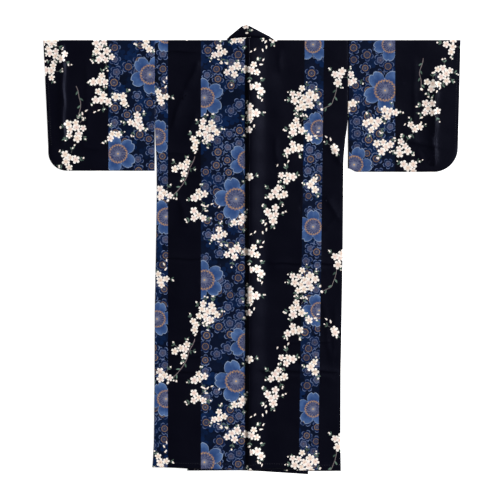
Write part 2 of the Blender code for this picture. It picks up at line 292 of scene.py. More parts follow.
@dataclass(frozen=True)
class Crease:
    """A crease that stands up from start to end, with a soft foot on each side of it.

    The feet are the distances over which it falls to the sides, and fade is the share of its
    length over which it rises from each end.
    """

    start: tuple
    end: tuple
    height: float
    foot: float
    other_foot: float
    fade: float = 0.25
    stray: float = 0.002
    stray_rate: float = 60.0
    line_step: float = 0.012
    line_parts: tuple = (0.6, 1.3)

    def run(self) -> tuple[float, float]:
        """The way from start to end."""
        return self.end[0] - self.start[0], self.end[1] - self.start[1]

    def wander(self, share: np.ndarray) -> np.ndarray:
        """How far the crease strays sideways at shares of its length."""
        return self.stray * np.sin(share * hypot(*self.run()) * self.stray_rate + self.start[0] * 90)

    def rise(self, x: np.ndarray, y: np.ndarray) -> np.ndarray:
        """Height of the crease.

        Args:
            x: Places across.
            y: Places along.

        Returns:
            Its height at each point, 0 well away from it.
        """
        run_x, run_y = self.run()
        length = hypot(run_x, run_y)
        share = ((x - self.start[0]) * run_x + (y - self.start[1]) * run_y) / length**2
        aside = ((x - self.start[0]) * run_y - (y - self.start[1]) * run_x) / length + self.wander(share)
        ends = ease(share / self.fade) * ease((1 - share) / self.fade)
        foot = np.where(aside > 0, self.foot, self.other_foot)
        return self.height * ends * np.exp(-np.abs(aside / foot) ** 1.5)

    def lines(self) -> list[np.ndarray]:
        """Lines along the top of the crease and down both sides of it.

        Returns:
            One array of points for each line.
        """
        run_x, run_y = self.run()
        length = hypot(run_x, run_y)
        share = spaced(0, 1, self.line_step / length)
        middle = np.array(self.start) + share[:, None] * np.array((run_x, run_y))
        aside = np.array((run_y, -run_x)) / length
        steps = [-part * self.other_foot for part in reversed(self.line_parts)]
        steps += [part * self.foot for part in (0.0, *self.line_parts)]
        return [middle + (step - self.wander(share))[:, None] * aside for step in steps]


@dataclass(frozen=True)
class Drape:
    """Heights of the cloth: what lies under a layer, the centre ridge, creases and waves."""

    cut: Cut = Cut()
    step_reach: float = 0.014
    step_fall: float = 0.060
    ridge_height: float = 0.011
    ridge_foot: tuple = (0.017, 0.062)
    ridge_below: tuple = (0.0, 0.030, 0.090, 0.300, 1.150, 1.390)
    ridge_share: tuple = (0.10, 0.35, 0.85, 1.00, 1.00, 0.55)
    wave_height: float = 0.0011
    waves: tuple = ((31, 9), (-22, 17), (12, -41), (55, 23), (-38, 61), (71, -30), (18, 84))
    creases: tuple = (
        Crease((-0.305, -1.069), (-0.020, -1.068), 0.0026, 0.0034, 0.014, 0.06),
        Crease((-0.300, -1.087), (-0.040, -1.086), 0.0020, 0.020, 0.012, 0.10),
        Crease((0.030, -1.066), (0.290, -1.069), 0.0028, 0.0034, 0.014, 0.06),
        Crease((0.040, -1.085), (0.285, -1.088), 0.0022, 0.020, 0.012, 0.10),
        Crease((-0.300, -0.704), (-0.030, -0.705), 0.0022, 0.0034, 0.014, 0.08),
        Crease((-0.290, -0.721), (-0.050, -0.721), 0.0014, 0.018, 0.011, 0.10),
        Crease((0.055, -0.720), (0.295, -0.720), 0.0024, 0.0034, 0.014, 0.08),
        Crease((0.065, -0.737), (0.285, -0.737), 0.0016, 0.018, 0.011, 0.10),
        Crease((-0.300, -0.972), (-0.100, -0.974), 0.0016, 0.0032, 0.012),
        Crease((0.090, -0.975), (0.285, -0.972), 0.0016, 0.0032, 0.012),
        Crease((-0.300, -1.022), (-0.060, -1.018), 0.0014, 0.0032, 0.012),
        Crease((-0.300, -0.037), (-0.150, -0.036), 0.0018, 0.0032, 0.012),
        Crease((-0.290, -0.366), (-0.150, -0.366), 0.0016, 0.0032, 0.012),
        Crease((-0.290, -0.435), (-0.150, -0.434), 0.0014, 0.0032, 0.012),
        Crease((-0.160, -0.060), (-0.209, -0.165), 0.0034, 0.008, 0.016),
        Crease((-0.206, -0.150), (-0.258, -0.300), 0.0030, 0.008, 0.016),
        Crease((-0.165, -0.225), (-0.212, -0.325), 0.0020, 0.008, 0.014),
        Crease((-0.228, -0.500), (-0.204, -0.610), 0.0022, 0.010, 0.014),
        Crease((0.098, -0.030), (0.097, -0.110), 0.0016, 0.008, 0.010),
        Crease((0.080, -0.300), (0.092, -0.430), 0.0020, 0.008, 0.014),
        Crease((0.262, -0.330), (0.296, -0.410), 0.0032, 0.009, 0.018),
        Crease((0.246, -0.500), (0.292, -0.590), 0.0028, 0.009, 0.018),
        Crease((0.235, -0.620), (0.288, -0.560), 0.0020, 0.008, 0.014),
        Crease((0.238, -0.830), (0.262, -1.060), 0.0018, 0.009, 0.012),
        Crease((0.275, -0.850), (0.270, -1.050), 0.0016, 0.008, 0.012),
        Crease((0.026, -0.022), (0.070, -0.006), 0.0014, 0.007, 0.009),
        Crease((-0.066, -0.024), (-0.010, -0.024), 0.0016, 0.005, 0.007),
        Crease((-0.601, -0.006), (-0.600, -0.345), 0.0058, 0.016, 0.0042, 0.08),
        Crease((-0.527, -0.050), (-0.524, -0.330), 0.0014, 0.007, 0.010),
        Crease((-0.652, -0.334), (-0.598, -0.333), 0.0018, 0.006, 0.010),
        Crease((-0.548, -0.350), (-0.470, -0.350), 0.0016, 0.006, 0.010),
        Crease((-0.455, -0.264), (-0.380, -0.265), 0.0014, 0.006, 0.010),
        Crease((0.600, -0.100), (0.596, -0.410), 0.0062, 0.016, 0.0045, 0.08),
        Crease((0.532, -0.040), (0.530, -0.370), 0.0014, 0.007, 0.010),
        Crease((0.480, -0.322), (0.620, -0.346), 0.0018, 0.007, 0.012),
        Crease((0.540, -0.352), (0.562, -0.400), 0.0022, 0.006, 0.010),
        Crease((0.555, -0.345), (0.585, -0.392), 0.0018, 0.006, 0.010),
    )

    def bed(self, x: np.ndarray, y: np.ndarray, fronts_below: int) -> np.ndarray:
        """Height of the surface that a layer lies on.

        Args:
            x: Places across.
            y: Places along.
            fronts_below: How many fronts lie under the layer, the left one first.

        Returns:
            The height at each point, 0 on the floor.
        """
        height = np.zeros(np.shape(x))
        for side in list(Side)[:fronts_below]:
            cloth = self.cover(x, y, self.cut.front_outline(side))
            doubled = self.cover(x, y, self.cut.collar_outline(side))
            height = height + LAYER * cloth + DOUBLED_LAYER * doubled
        return height

    def cover(self, x: np.ndarray, y: np.ndarray, outline: list[tuple]) -> np.ndarray:
        """1 over an outline and just beside it, easing to 0 further out."""
        return ease(1 - (distance_outside(x, y, outline) - self.step_reach) / self.step_fall)

    def relief(self, x: np.ndarray, y: np.ndarray) -> np.ndarray:
        """Height of the centre ridge, the creases and the waves of the top layer.

        Args:
            x: Places across.
            y: Places along.

        Returns:
            The height at each point over the layer's own bed.
        """
        foot = np.where(x < 0, self.ridge_foot[0], self.ridge_foot[1])
        across = 0.5 + 0.5 * np.cos(pi * np.clip(np.abs(x) / foot, 0, 1))
        ridge = across * np.interp(-y, self.ridge_below, self.ridge_share)
        height = self.ridge_height * ridge + self.ripple(x, y)
        for crease in self.creases:
            height = height + crease.rise(x, y)
        return height

    def ripple(self, x: np.ndarray, y: np.ndarray) -> np.ndarray:
        """Low uneven waves, never below the layer's own bed."""
        total = sum(np.sin(a * x + b * y + a * 0.7) for a, b in self.waves) / len(self.waves)
        return self.wave_height * (1 + 1.6 * total).clip(0, None)

    def top(self, x: np.ndarray, y: np.ndarray) -> np.ndarray:
        """Height of the back's cloth where it lies on both fronts."""
        return self.bed(x, y, 2) + LIE + self.relief(x, y)


@dataclass(frozen=True)
class FlowerShape:
    """Outline of an open flower, as shares of its radius, with the places where it is drawn."""

    petals: int
    lobe: float
    valley: float
    notch: float
    notch_width: float
    places: tuple

    def reach(self, turn: np.ndarray) -> np.ndarray:
        """How far the flower reaches.

        Args:
            turn: Angles in turns.

        Returns:
            The share of the radius that it reaches at each angle.
        """
        place = np.abs((turn * self.petals) % 1.0 - 0.5)
        middle = 1 - self.lobe
        aside = middle * np.sin(place * tau / self.petals)
        along = middle * np.cos(place * tau / self.petals)
        left = self.lobe**2 - aside**2
        far = np.where(left > 0, along + np.sqrt(np.clip(left, 0, None)), self.valley)
        return far - self.notch * np.clip(1 - place / self.notch_width, 0, 1)

    def outline(self, centre: tuple, radius: float, spin: float) -> np.ndarray:
        """Points round the flower.

        Args:
            centre: Middle of the flower on the chart.
            radius: Distance from the middle to the petals' tips.
            spin: Turn of the flower in radians.

        Returns:
            One row of x and y for each point.
        """
        steps = np.concatenate([np.add(self.places, petal) for petal in range(self.petals)])
        turn = steps / self.petals
        far = radius * self.reach(turn)
        angle = turn * tau + spin
        return np.column_stack([far * np.cos(angle), far * np.sin(angle)]) + centre


LARGE_SHAPE = FlowerShape(
    petals=5,
    lobe=0.365,
    valley=0.56,
    notch=0.10,
    notch_width=0.085,
    places=(0, 0.02, 0.06, 0.13, 0.23, 0.33, 0.41, 0.46, 0.5, 0.54, 0.59, 0.67, 0.77, 0.87, 0.94, 0.98),
)
SMALL_SHAPE = FlowerShape(
    petals=5,
    lobe=0.345,
    valley=0.46,
    notch=0.04,
    notch_width=0.12,
    places=(0, 0.07, 0.19, 0.34, 0.5, 0.66, 0.81, 0.93),
)
SHADOW_SHAPE = FlowerShape(5, 0.37, 0.52, 0.02, 0.12, (0, 0.16, 0.38, 0.62, 0.84))
BLOSSOM_SHAPE = FlowerShape(
    petals=5,
    lobe=0.335,
    valley=0.50,
    notch=0.03,
    notch_width=0.12,
    places=(0, 0.05, 0.12, 0.24, 0.37, 0.5, 0.63, 0.76, 0.88, 0.95),
)
SHAPES = {
    Motif.SHADOW_FLOWER: SHADOW_SHAPE,
    Motif.LACE_FLOWER: SMALL_SHAPE,
    Motif.RING_FLOWER: SMALL_SHAPE,
    Motif.LARGE_FLOWER: LARGE_SHAPE,
    Motif.BLOSSOM: BLOSSOM_SHAPE,
}


@dataclass
class Patch:
    """One printed shape on a chart, with its own middle, size and turn."""

    motif: Motif
    outline: np.ndarray
    centre: tuple = (0.0, 0.0)
    radius: float = 1.0
    spin: float = 0.0
    tone: float = 0.5

    def coarser(self) -> Patch:
        """The same shape with half as many points round it, for cloth out of sight."""
        return self if self.motif is Motif.STEM else replace(self, outline=self.outline[::2])

    def moved(self, down: float) -> Patch:
        """The same shape further down the cloth."""
        away = np.array((0.0, -down))
        return replace(self, outline=self.outline + away, centre=tuple(self.centre + away))

    def local(self, points: np.ndarray) -> np.ndarray:
        """Chart points as the shape's own coordinates, 1 at its tips."""
        return turned((points - np.array(self.centre)) / self.radius, -self.spin)


def flower(motif: Motif, centre: tuple, radius: float, spin: float, tone: float) -> Patch:
    """An open flower."""
    return Patch(motif, SHAPES[motif].outline(centre, radius, spin), centre, radius, spin, tone)


def drop(motif: Motif, centre: tuple, length: float, width: float, spin: float, tone: float) -> Patch:
    """A petal, a leaf or a bud: pointed at one end, and a leaf at both.

    Args:
        motif: Petal, leaf or bud.
        centre: Middle of the shape on the chart.
        length: Half its length.
        width: Half its width.
        spin: Direction of its tip in radians.
        tone: A number from 0 to 1 that varies its colour.

    Returns:
        The patch.
    """
    angle = np.linspace(0, tau, 8 if motif is Motif.BUD else 12, endpoint=False)
    along = np.cos(angle)
    point = {Motif.LEAF: np.abs(np.sin(angle)), Motif.PETAL: 0.85 - 0.35 * along, Motif.BUD: 1.0}
    across = np.sin(angle) * point[motif] * width / length
    outline = turned(np.column_stack([along, across]) * length, spin) + centre
    return Patch(motif, outline, centre, length, spin, tone)


def stem(points: list[tuple], width: float, tone: float) -> Patch:
    """A stem that follows a line of points on the chart.

    Args:
        points: The line.
        width: How wide the stem is.
        tone: A number from 0 to 1 that varies its colour.

    Returns:
        The patch.
    """
    line = np.array(points, float)
    run = np.gradient(line, axis=0)
    aside = np.column_stack([-run[:, 1], run[:, 0]]) / np.linalg.norm(run, axis=1)[:, None]
    half = aside * width / 2
    return Patch(Motif.STEM, np.vstack([line - half, (line + half)[::-1]]), tone=tone)


@dataclass(frozen=True)
class Large:
    """A large flower in a blue stripe."""

    across: float
    below: float
    radius: float


@dataclass(frozen=True)
class Spray:
    """A cluster of blossoms, with a trail of petals and buds that leaves it at an angle."""

    across: float
    below: float
    blossoms: int
    trail: float = 0.0
    trail_length: float = 0.0

    def seed(self) -> int:
        """A number of its own, so that a cluster cut by a seam goes on beyond it."""
        return round(abs(self.across) * 1e4) * 20011 + round(abs(self.below) * 1e4)


@dataclass(frozen=True)
class Twig:
    """A stem with leaves, through points given as across and below."""

    points: tuple


@dataclass(frozen=True)
class Stripe:
    """A blue stripe between two places across, shifted sideways by the hem."""

    start: float
    end: float
    shift: float = 0.0

    def lean(self, along: float) -> float:
        """How far the stripe has shifted sideways at a place along the chart."""
        return self.shift * abs(along) / BODY


@dataclass(frozen=True)
class Repeat:
    """One repeat of the print: its stripes, large flowers, sprays and twigs."""

    stripes: tuple
    larges: tuple
    sprays: tuple
    twigs: tuple = ()
    seed: int = 1
    small_pitch: float = 0.0400
    opened: float = 0.77
    blossom_radius: float = 0.0132
    blossom_spread: float = 0.0118
    stem_width: float = 0.0021
    sprig_width: float = 0.0013
    twig_step: float = 0.008
    twig_leaf: tuple = (0.0075, 0.0026)
    twig_bud: tuple = (0.0052, 0.0040)
    trail_step: float = 0.014
    trail_petal: float = 0.0062
    blossom_size: tuple = (0.82, 1.12)
    blossom_stray: float = 0.0014
    sprig_turn: float = 2.4
    sprig_root: float = 0.7
    sprig_length: tuple = (0.008, 0.014)
    sprig_leaf: tuple = (0.0045, 0.0065)
    sprig_bud: tuple = (0.0022, 0.0036)
    petal_width: float = 0.52
    leaf_width: float = 0.36
    bud_width: float = 0.85
    scatter: float = 0.18
    shadow_size: tuple = (0.52, 0.62)
    opened_size: tuple = (0.45, 0.58)
    patch_reach: float = 0.09
    hidden_from: float = 0.02
    left_out: tuple = (Motif.BUD, Motif.SHADOW_FLOWER)

    def stripe_outlines(self, top: float, bottom: float) -> list[np.ndarray]:
        """Outlines of the blue stripes.

        Args:
            top: Upper end of the stripes on the chart.
            bottom: Lower end of the stripes.

        Returns:
            One outline for each stripe.
        """
        shapes = []
        for stripe in self.stripes:
            down = [(stripe.end + stripe.lean(along), along) for along in (bottom, 0.0, top)]
            up = [(stripe.start + stripe.lean(along), along) for along in (top, 0.0, bottom)]
            shapes.append(np.array([spot for spot in down + up if bottom <= spot[1] <= top]))
        return shapes

    def patches(self, top: float, bottom: float) -> list[Patch]:
        """All printed shapes between two places along the chart, lowest layer first.

        Args:
            top: Upper end of the chart, towards the front hem.
            bottom: Lower end of the chart, towards the back hem.

        Returns:
            The patches in the order in which they are printed.
        """
        rng = np.random.default_rng(self.seed)
        first, last = int(np.floor(-top / PRINT_REPEAT)) - 1, int(np.ceil(-bottom / PRINT_REPEAT)) + 1
        shifts = [number * PRINT_REPEAT for number in range(first, last + 1)]
        small = self.small_flowers(rng, top, bottom)
        large, twigs, sprays = (
            [patch.moved(shift) for shift in shifts for patch in one]
            for one in (self.large_flowers(rng), self.twig_patches(rng), self.spray_patches())
        )
        small = [patch for patch in small if not self.covered(patch, large, sprays)]
        found = []
        for patch in small + large + twigs + sprays:
            along = patch.outline[:, 1].mean()
            if not bottom - self.patch_reach < along < top + self.patch_reach:
                continue
            kept = patch.coarser() if along > self.hidden_from else patch
            if kept.outline[:, 1].mean() < self.hidden_from or kept.motif not in self.left_out:
                found.append(kept)
        return found

    def covered(self, patch: Patch, larges: list[Patch], sprays: list[Patch]) -> bool:
        """Whether a small flower lies under the middle of a large one or of a cluster.

        Args:
            patch: The small flower.
            larges: All large flowers.
            sprays: All parts of the clusters.

        Returns:
            True where nothing of it would show.
        """
        away = [hypot(*np.subtract(patch.centre, large.centre)) / large.radius for large in larges]
        blossoms = [spray for spray in sprays if spray.motif is Motif.BLOSSOM]
        near = [hypot(*np.subtract(patch.centre, one.centre)) < patch.radius for one in blossoms]
        return min(away, default=1.0) < 0.50 or sum(near) > 3

    def small_flowers(self, rng: np.random.Generator, top: float, bottom: float) -> list[Patch]:
        """Small flowers packed side by side in the blue stripes.

        Args:
            rng: Source of their small chances.
            top: Upper end of the stripes on the chart.
            bottom: Lower end of the stripes.

        Returns:
            The plain dark flowers that stay in sight, then the open flowers over them.
        """
        shadows, opened = [], []
        pitch = self.small_pitch
        for stripe in self.stripes:
            for number, across in enumerate(spaced(stripe.start, stripe.end, pitch)):
                for along in np.arange(bottom - (number % 2) * pitch / 2, top + pitch, pitch):
                    middle = across + stripe.lean(along)
                    away = rng.uniform(-self.scatter, self.scatter, 4) * pitch
                    size = pitch * rng.uniform(*self.shadow_size)
                    place = (middle + away[0], along + away[1])
                    turn, tone = rng.uniform(0, tau), rng.uniform()
                    shadows.append(flower(Motif.SHADOW_FLOWER, place, size, turn, tone))
                    if rng.uniform() < self.opened:
                        kind = Motif.RING_FLOWER if rng.uniform() < 0.5 else Motif.LACE_FLOWER
                        place = (middle + pitch / 2 + away[2], along + away[3])
                        size = pitch * rng.uniform(*self.opened_size)
                        opened.append(flower(kind, place, size, turn + 1, rng.uniform()))
        rng.shuffle(shadows)
        rng.shuffle(opened)
        places = np.array([patch.centre for patch in opened] or [(np.inf, np.inf)])
        seen = [np.hypot(*(places - patch.centre).T).min() > pitch / 2 for patch in shadows]
        return [patch for patch, clear in zip(shadows, seen) if clear] + opened

    def large_flowers(self, rng: np.random.Generator) -> list[Patch]:
        """The large flowers of one repeat."""
        return [
            flower(Motif.LARGE_FLOWER, (f.across, -f.below), f.radius, rng.uniform(0, tau), rng.uniform())
            for f in self.larges
        ]

    def twig_patches(self, rng: np.random.Generator) -> list[Patch]:
        """The stems of one repeat, with leaves on both sides of them.

        Args:
            rng: Source of their small chances.

        Returns:
            Their patches, lowest first.
        """
        found = []
        for twig in self.twigs:
            corners = np.array([(across, -below) for across, below in twig.points])
            length = np.concatenate([[0], np.cumsum(np.hypot(*np.diff(corners, axis=0).T))])
            along = spaced(0, length[-1], self.twig_step)
            line = np.column_stack([np.interp(along, length, corners[:, i]) for i in (0, 1)])
            line[:, 0] += 0.0015 * np.sin(along * 110)
            found.append(stem([tuple(point) for point in line], self.stem_width, rng.uniform()))
            for number in range(2, len(line) - 1, 3):
                run = line[number] - line[number - 1]
                turn = np.arctan2(run[1], run[0]) + (0.8 if number % 2 else -0.8)
                tip = line[number] + 0.008 * heading(turn)
                found.append(drop(Motif.LEAF, tuple(tip), *self.twig_leaf, turn, rng.uniform()))
            spin = rng.uniform(0, tau)
            found.append(drop(Motif.BUD, tuple(line[-1]), *self.twig_bud, spin, rng.uniform()))
        return found

    def spray_patches(self) -> list[Patch]:
        """The clusters of blossoms of one repeat, with their sprigs, petals and buds."""
        return [patch for spray in self.sprays for patch in self.one_spray(spray)]

    def one_spray(self, spray: Spray) -> list[Patch]:
        """One cluster: sprigs round it, a trail of petals, then its blossoms.

        Args:
            spray: Where the cluster is, and how large.

        Returns:
            Its patches, lowest first.
        """
        rng = np.random.default_rng(spray.seed())
        middle = np.array((spray.across, -spray.below))
        reach = self.blossom_spread * np.sqrt(spray.blossoms) + self.blossom_radius * 0.3
        around = rng.uniform(0, tau)
        found = []
        for number in range(1 + (spray.blossoms + 1) // 2):
            turn = around + number * self.sprig_turn + rng.uniform(-0.3, 0.3)
            root = middle + reach * self.sprig_root * heading(turn)
            length = reach * (1 - self.sprig_root) + rng.uniform(*self.sprig_length)
            found += self.sprig(rng, root, turn, length)
        for number in range(int(spray.trail_length / self.trail_step)):
            gone = number * self.trail_step
            lean = spray.trail + 0.25 * sin(number * 1.3)
            tip = middle + (reach + 0.006 + gone) * heading(lean)
            size = self.trail_petal * (1 - 0.35 * gone / spray.trail_length)
            spin = lean + rng.uniform(-0.8, 0.8)
            width = size * self.petal_width
            found.append(drop(Motif.PETAL, tuple(tip), size, width, spin, rng.uniform()))
        for number in range(spray.blossoms):
            turn = around + number * GOLDEN_TURN
            far = self.blossom_spread * np.sqrt(number + (0.0 if spray.blossoms < 3 else 0.3))
            place = middle + far * heading(turn) + rng.normal(0, self.blossom_stray, 2)
            radius = self.blossom_radius * rng.uniform(*self.blossom_size)
            spin = rng.uniform(0, tau)
            found.append(flower(Motif.BLOSSOM, tuple(place), radius, spin, rng.uniform()))
        return found

    def sprig(self, rng: np.random.Generator, root: np.ndarray, turn: float, length: float) -> list[Patch]:
        """A thin stem with two or three small leaves, and a bud or two at its end.

        Args:
            rng: Source of its small chances.
            root: Where it starts.
            turn: Its direction in radians.
            length: Its length.

        Returns:
            Its patches.
        """
        bend = rng.uniform(-0.4, 0.4)
        line = [root]
        for step in range(4):
            lean = turn + bend * step / 3
            line.append(line[-1] + length / 4 * heading(lean))
        found = [stem([tuple(point) for point in line], self.sprig_width, rng.uniform(0, 0.5))]
        for number, aside in enumerate((-0.75, 0.75, -0.6)[: int(rng.integers(2, 4))]):
            lean = turn + aside + rng.uniform(-0.2, 0.2)
            size = rng.uniform(*self.sprig_leaf)
            tip = line[2 + number // 2] + size * heading(lean)
            width = size * self.leaf_width
            found.append(drop(Motif.LEAF, tuple(tip), size, width, lean, rng.uniform()))
        for _ in range(int(rng.integers(1, 4))):
            place = line[-1] + rng.uniform(-0.0055, 0.0055, 2)
            size = rng.uniform(*self.sprig_bud)
            width = size * self.bud_width
            spin = rng.uniform(0, tau)
            found.append(drop(Motif.BUD, tuple(place), size, width, spin, rng.uniform()))
        return found


SEAM_SPRAYS = (
    Spray(0.006, 0.093, 4, 0.4, 0.03), Spray(0.008, 0.232, 4, 4.6, 0.04), Spray(-0.005, 0.290, 1),
    Spray(0.001, 0.445, 1),
)
BODY_LEFT_PRINT = Repeat(
    stripes=(Stripe(-0.3300, -0.2640), Stripe(-0.1573, -0.0152)),
    larges=(
        Large(-0.146, 0.187, 0.066), Large(-0.009, 0.387, 0.060), Large(-0.044, 0.513, 0.071),
        Large(-0.299, 0.313, 0.056), Large(-0.270, 0.571, 0.058),
    ),
    sprays=(
        Spray(-0.102, 0.038, 4), Spray(-0.031, -0.004, 3), Spray(-0.051, 0.099, 4, 2.4, 0.05),
        Spray(-0.135, 0.293, 10), Spray(-0.177, 0.330, 3), Spray(-0.215, 0.413, 5),
        Spray(-0.167, 0.500, 4), Spray(-0.167, 0.571, 4, 0.6, 0.06), Spray(-0.277, 0.500, 4),
        Spray(-0.283, 0.183, 4, 1.2, 0.05),
    )
    + SEAM_SPRAYS,
    twigs=(Twig(((-0.177, 0.377), (-0.215, 0.468), (-0.264, 0.519))),),
    seed=11,
)
BODY_RIGHT_PRINT = Repeat(
    stripes=(Stripe(0.1780, 0.2400, -0.0195),),
    larges=(Large(0.2045, 0.0155, 0.055), Large(0.2238, 0.2855, 0.055)),
    sprays=(
        Spray(0.021, 0.155, 3, 4.9, 0.03), Spray(0.175, 0.193, 12), Spray(0.153, 0.280, 5),
        Spray(0.137, 0.348, 4, 4.2, 0.06), Spray(0.124, 0.445, 4), Spray(0.088, 0.494, 5),
        Spray(0.072, 0.565, 5, 4.1, 0.08), Spray(0.204, 0.471, 3), Spray(0.285, 0.119, 4),
        Spray(0.192, 0.319, 1, 0.4, 0.03), Spray(0.272, 0.345, 2, 2.0, 0.03),
    )
    + SEAM_SPRAYS,
    twigs=(Twig(((0.280, 0.145), (0.276, 0.183), (0.263, 0.209), (0.234, 0.225))),),
    seed=12,
)
SLEEVE_LEFT_PRINT = Repeat(
    stripes=(Stripe(-0.4558, -0.3000),),
    larges=(Large(-0.322, 0.112, 0.065), Large(-0.425, 0.368, 0.062)),
    sprays=(
        Spray(-0.645, 0.012, 5), Spray(-0.619, 0.054, 6), Spray(-0.645, 0.103, 5),
        Spray(-0.490, 0.022, 4), Spray(-0.471, 0.054, 5), Spray(-0.487, 0.129, 4),
        Spray(-0.480, 0.190, 5), Spray(-0.416, 0.187, 3), Spray(-0.367, 0.267, 5),
        Spray(-0.442, 0.309, 3), Spray(-0.564, 0.290, 8, 0.9, 0.09), Spray(-0.580, 0.387, 5),
        Spray(-0.335, 0.019, 3),
    ),
    twigs=(Twig(((-0.560, 0.150), (-0.545, 0.200), (-0.552, 0.250))),),
    seed=13,
)
SLEEVE_RIGHT_PRINT = Repeat(
    stripes=(Stripe(0.3207, 0.4693),),
    larges=(Large(0.453, 0.0155, 0.055), Large(0.437, 0.164, 0.071), Large(0.337, 0.403, 0.060)),
    sprays=(
        Spray(0.330, 0.125, 3), Spray(0.318, 0.216, 3), Spray(0.398, 0.274, 5), Spray(0.453, 0.238, 4),
        Spray(0.434, 0.345, 5), Spray(0.495, 0.348, 5), Spray(0.515, 0.406, 4), Spray(0.647, 0.022, 4),
        Spray(0.628, 0.106, 6, 4.2, 0.05), Spray(0.592, 0.148, 4), Spray(0.582, 0.225, 6, 3.9, 0.08),
        Spray(0.537, 0.284, 3),
    ),
    twigs=(Twig(((0.560, 0.060), (0.548, 0.110), (0.556, 0.160))),),
    seed=14,
)
COLLAR_PRINT = Repeat(
    stripes=(Stripe(0.0700, 0.1100),),
    larges=(),
    sprays=(
        Spray(0.057, 0.433, 1), Spray(0.024, 0.060, 3), Spray(0.040, 0.190, 5, 1.2, 0.05),
        Spray(0.020, 0.300, 3), Spray(0.100, 0.120, 4), Spray(0.090, 0.330, 5),
    ),
    twigs=(Twig(((0.050, 0.431), (0.038, 0.426), (0.022, 0.432))),),
    seed=15,
    hidden_from=2.0,
)


@dataclass
class Chart:
    """One cut piece of the printed cotton, flat, with its own outline and its print."""

    outline: np.ndarray
    repeat: Repeat
    points: np.ndarray
    lines: list[np.ndarray]

    def area(self) -> float:
        """Area inside the outline."""
        return abs(signed_area(self.outline))

    def size(self) -> tuple[float, float]:
        """Width and length of the outline."""
        wide, long = np.ptp(self.outline, axis=0)
        return float(wide), float(long)

    def faces(self) -> tuple:
        """Cuts the chart into triangles along every printed outline.

        Returns:
            The points, the triangles, and for each triangle its patch, or None for the ground,
            and whether it lies in a blue stripe.
        """
        top, bottom = float(self.outline[:, 1].max()), float(self.outline[:, 1].min())
        stripes = self.repeat.stripe_outlines(top + 0.02, bottom - 0.02)
        patches = self.repeat.patches(top, bottom)
        shapes = [self.outline] + stripes + [patch.outline for patch in patches]
        starts = np.cumsum([0] + [len(shape) for shape in shapes + self.lines])
        runs = [list(range(a, b)) for a, b in zip(starts, starts[1:])]
        loops, kept = runs[: len(shapes)], runs[len(shapes) :]
        edges = [pair for run in kept for pair in zip(run, run[1:])]
        corners = [Vector(point) for point in np.vstack(shapes + self.lines + [self.points])]
        made = delaunay_2d_cdt(corners, edges, loops, 1, 1e-6, True)
        points = np.array([tuple(point) for point in made[0]])
        first_patch = 1 + len(stripes)
        triangles, owners, blue = [], [], []
        for triangle, sources in zip(made[2], made[5]):
            if 0 not in sources or len(triangle) != 3:
                continue
            striped = any(0 < source < first_patch for source in sources)
            printed = [patches[source - first_patch] for source in sorted(sources) if source >= first_patch]
            printed = [patch for patch in printed if striped or not patch.motif.in_stripes]
            triangles.append(triangle)
            owners.append(printed[-1] if printed else None)
            blue.append(striped)
        used, renumbered = np.unique(np.array(triangles), return_inverse=True)
        return points[used], renumbered.reshape(-1, 3), owners, np.array(blue)


def socket_name(name: str) -> str:
    """The name of a socket as Blender writes it."""
    return name.replace("_", " ").title().replace("Ior", "IOR")


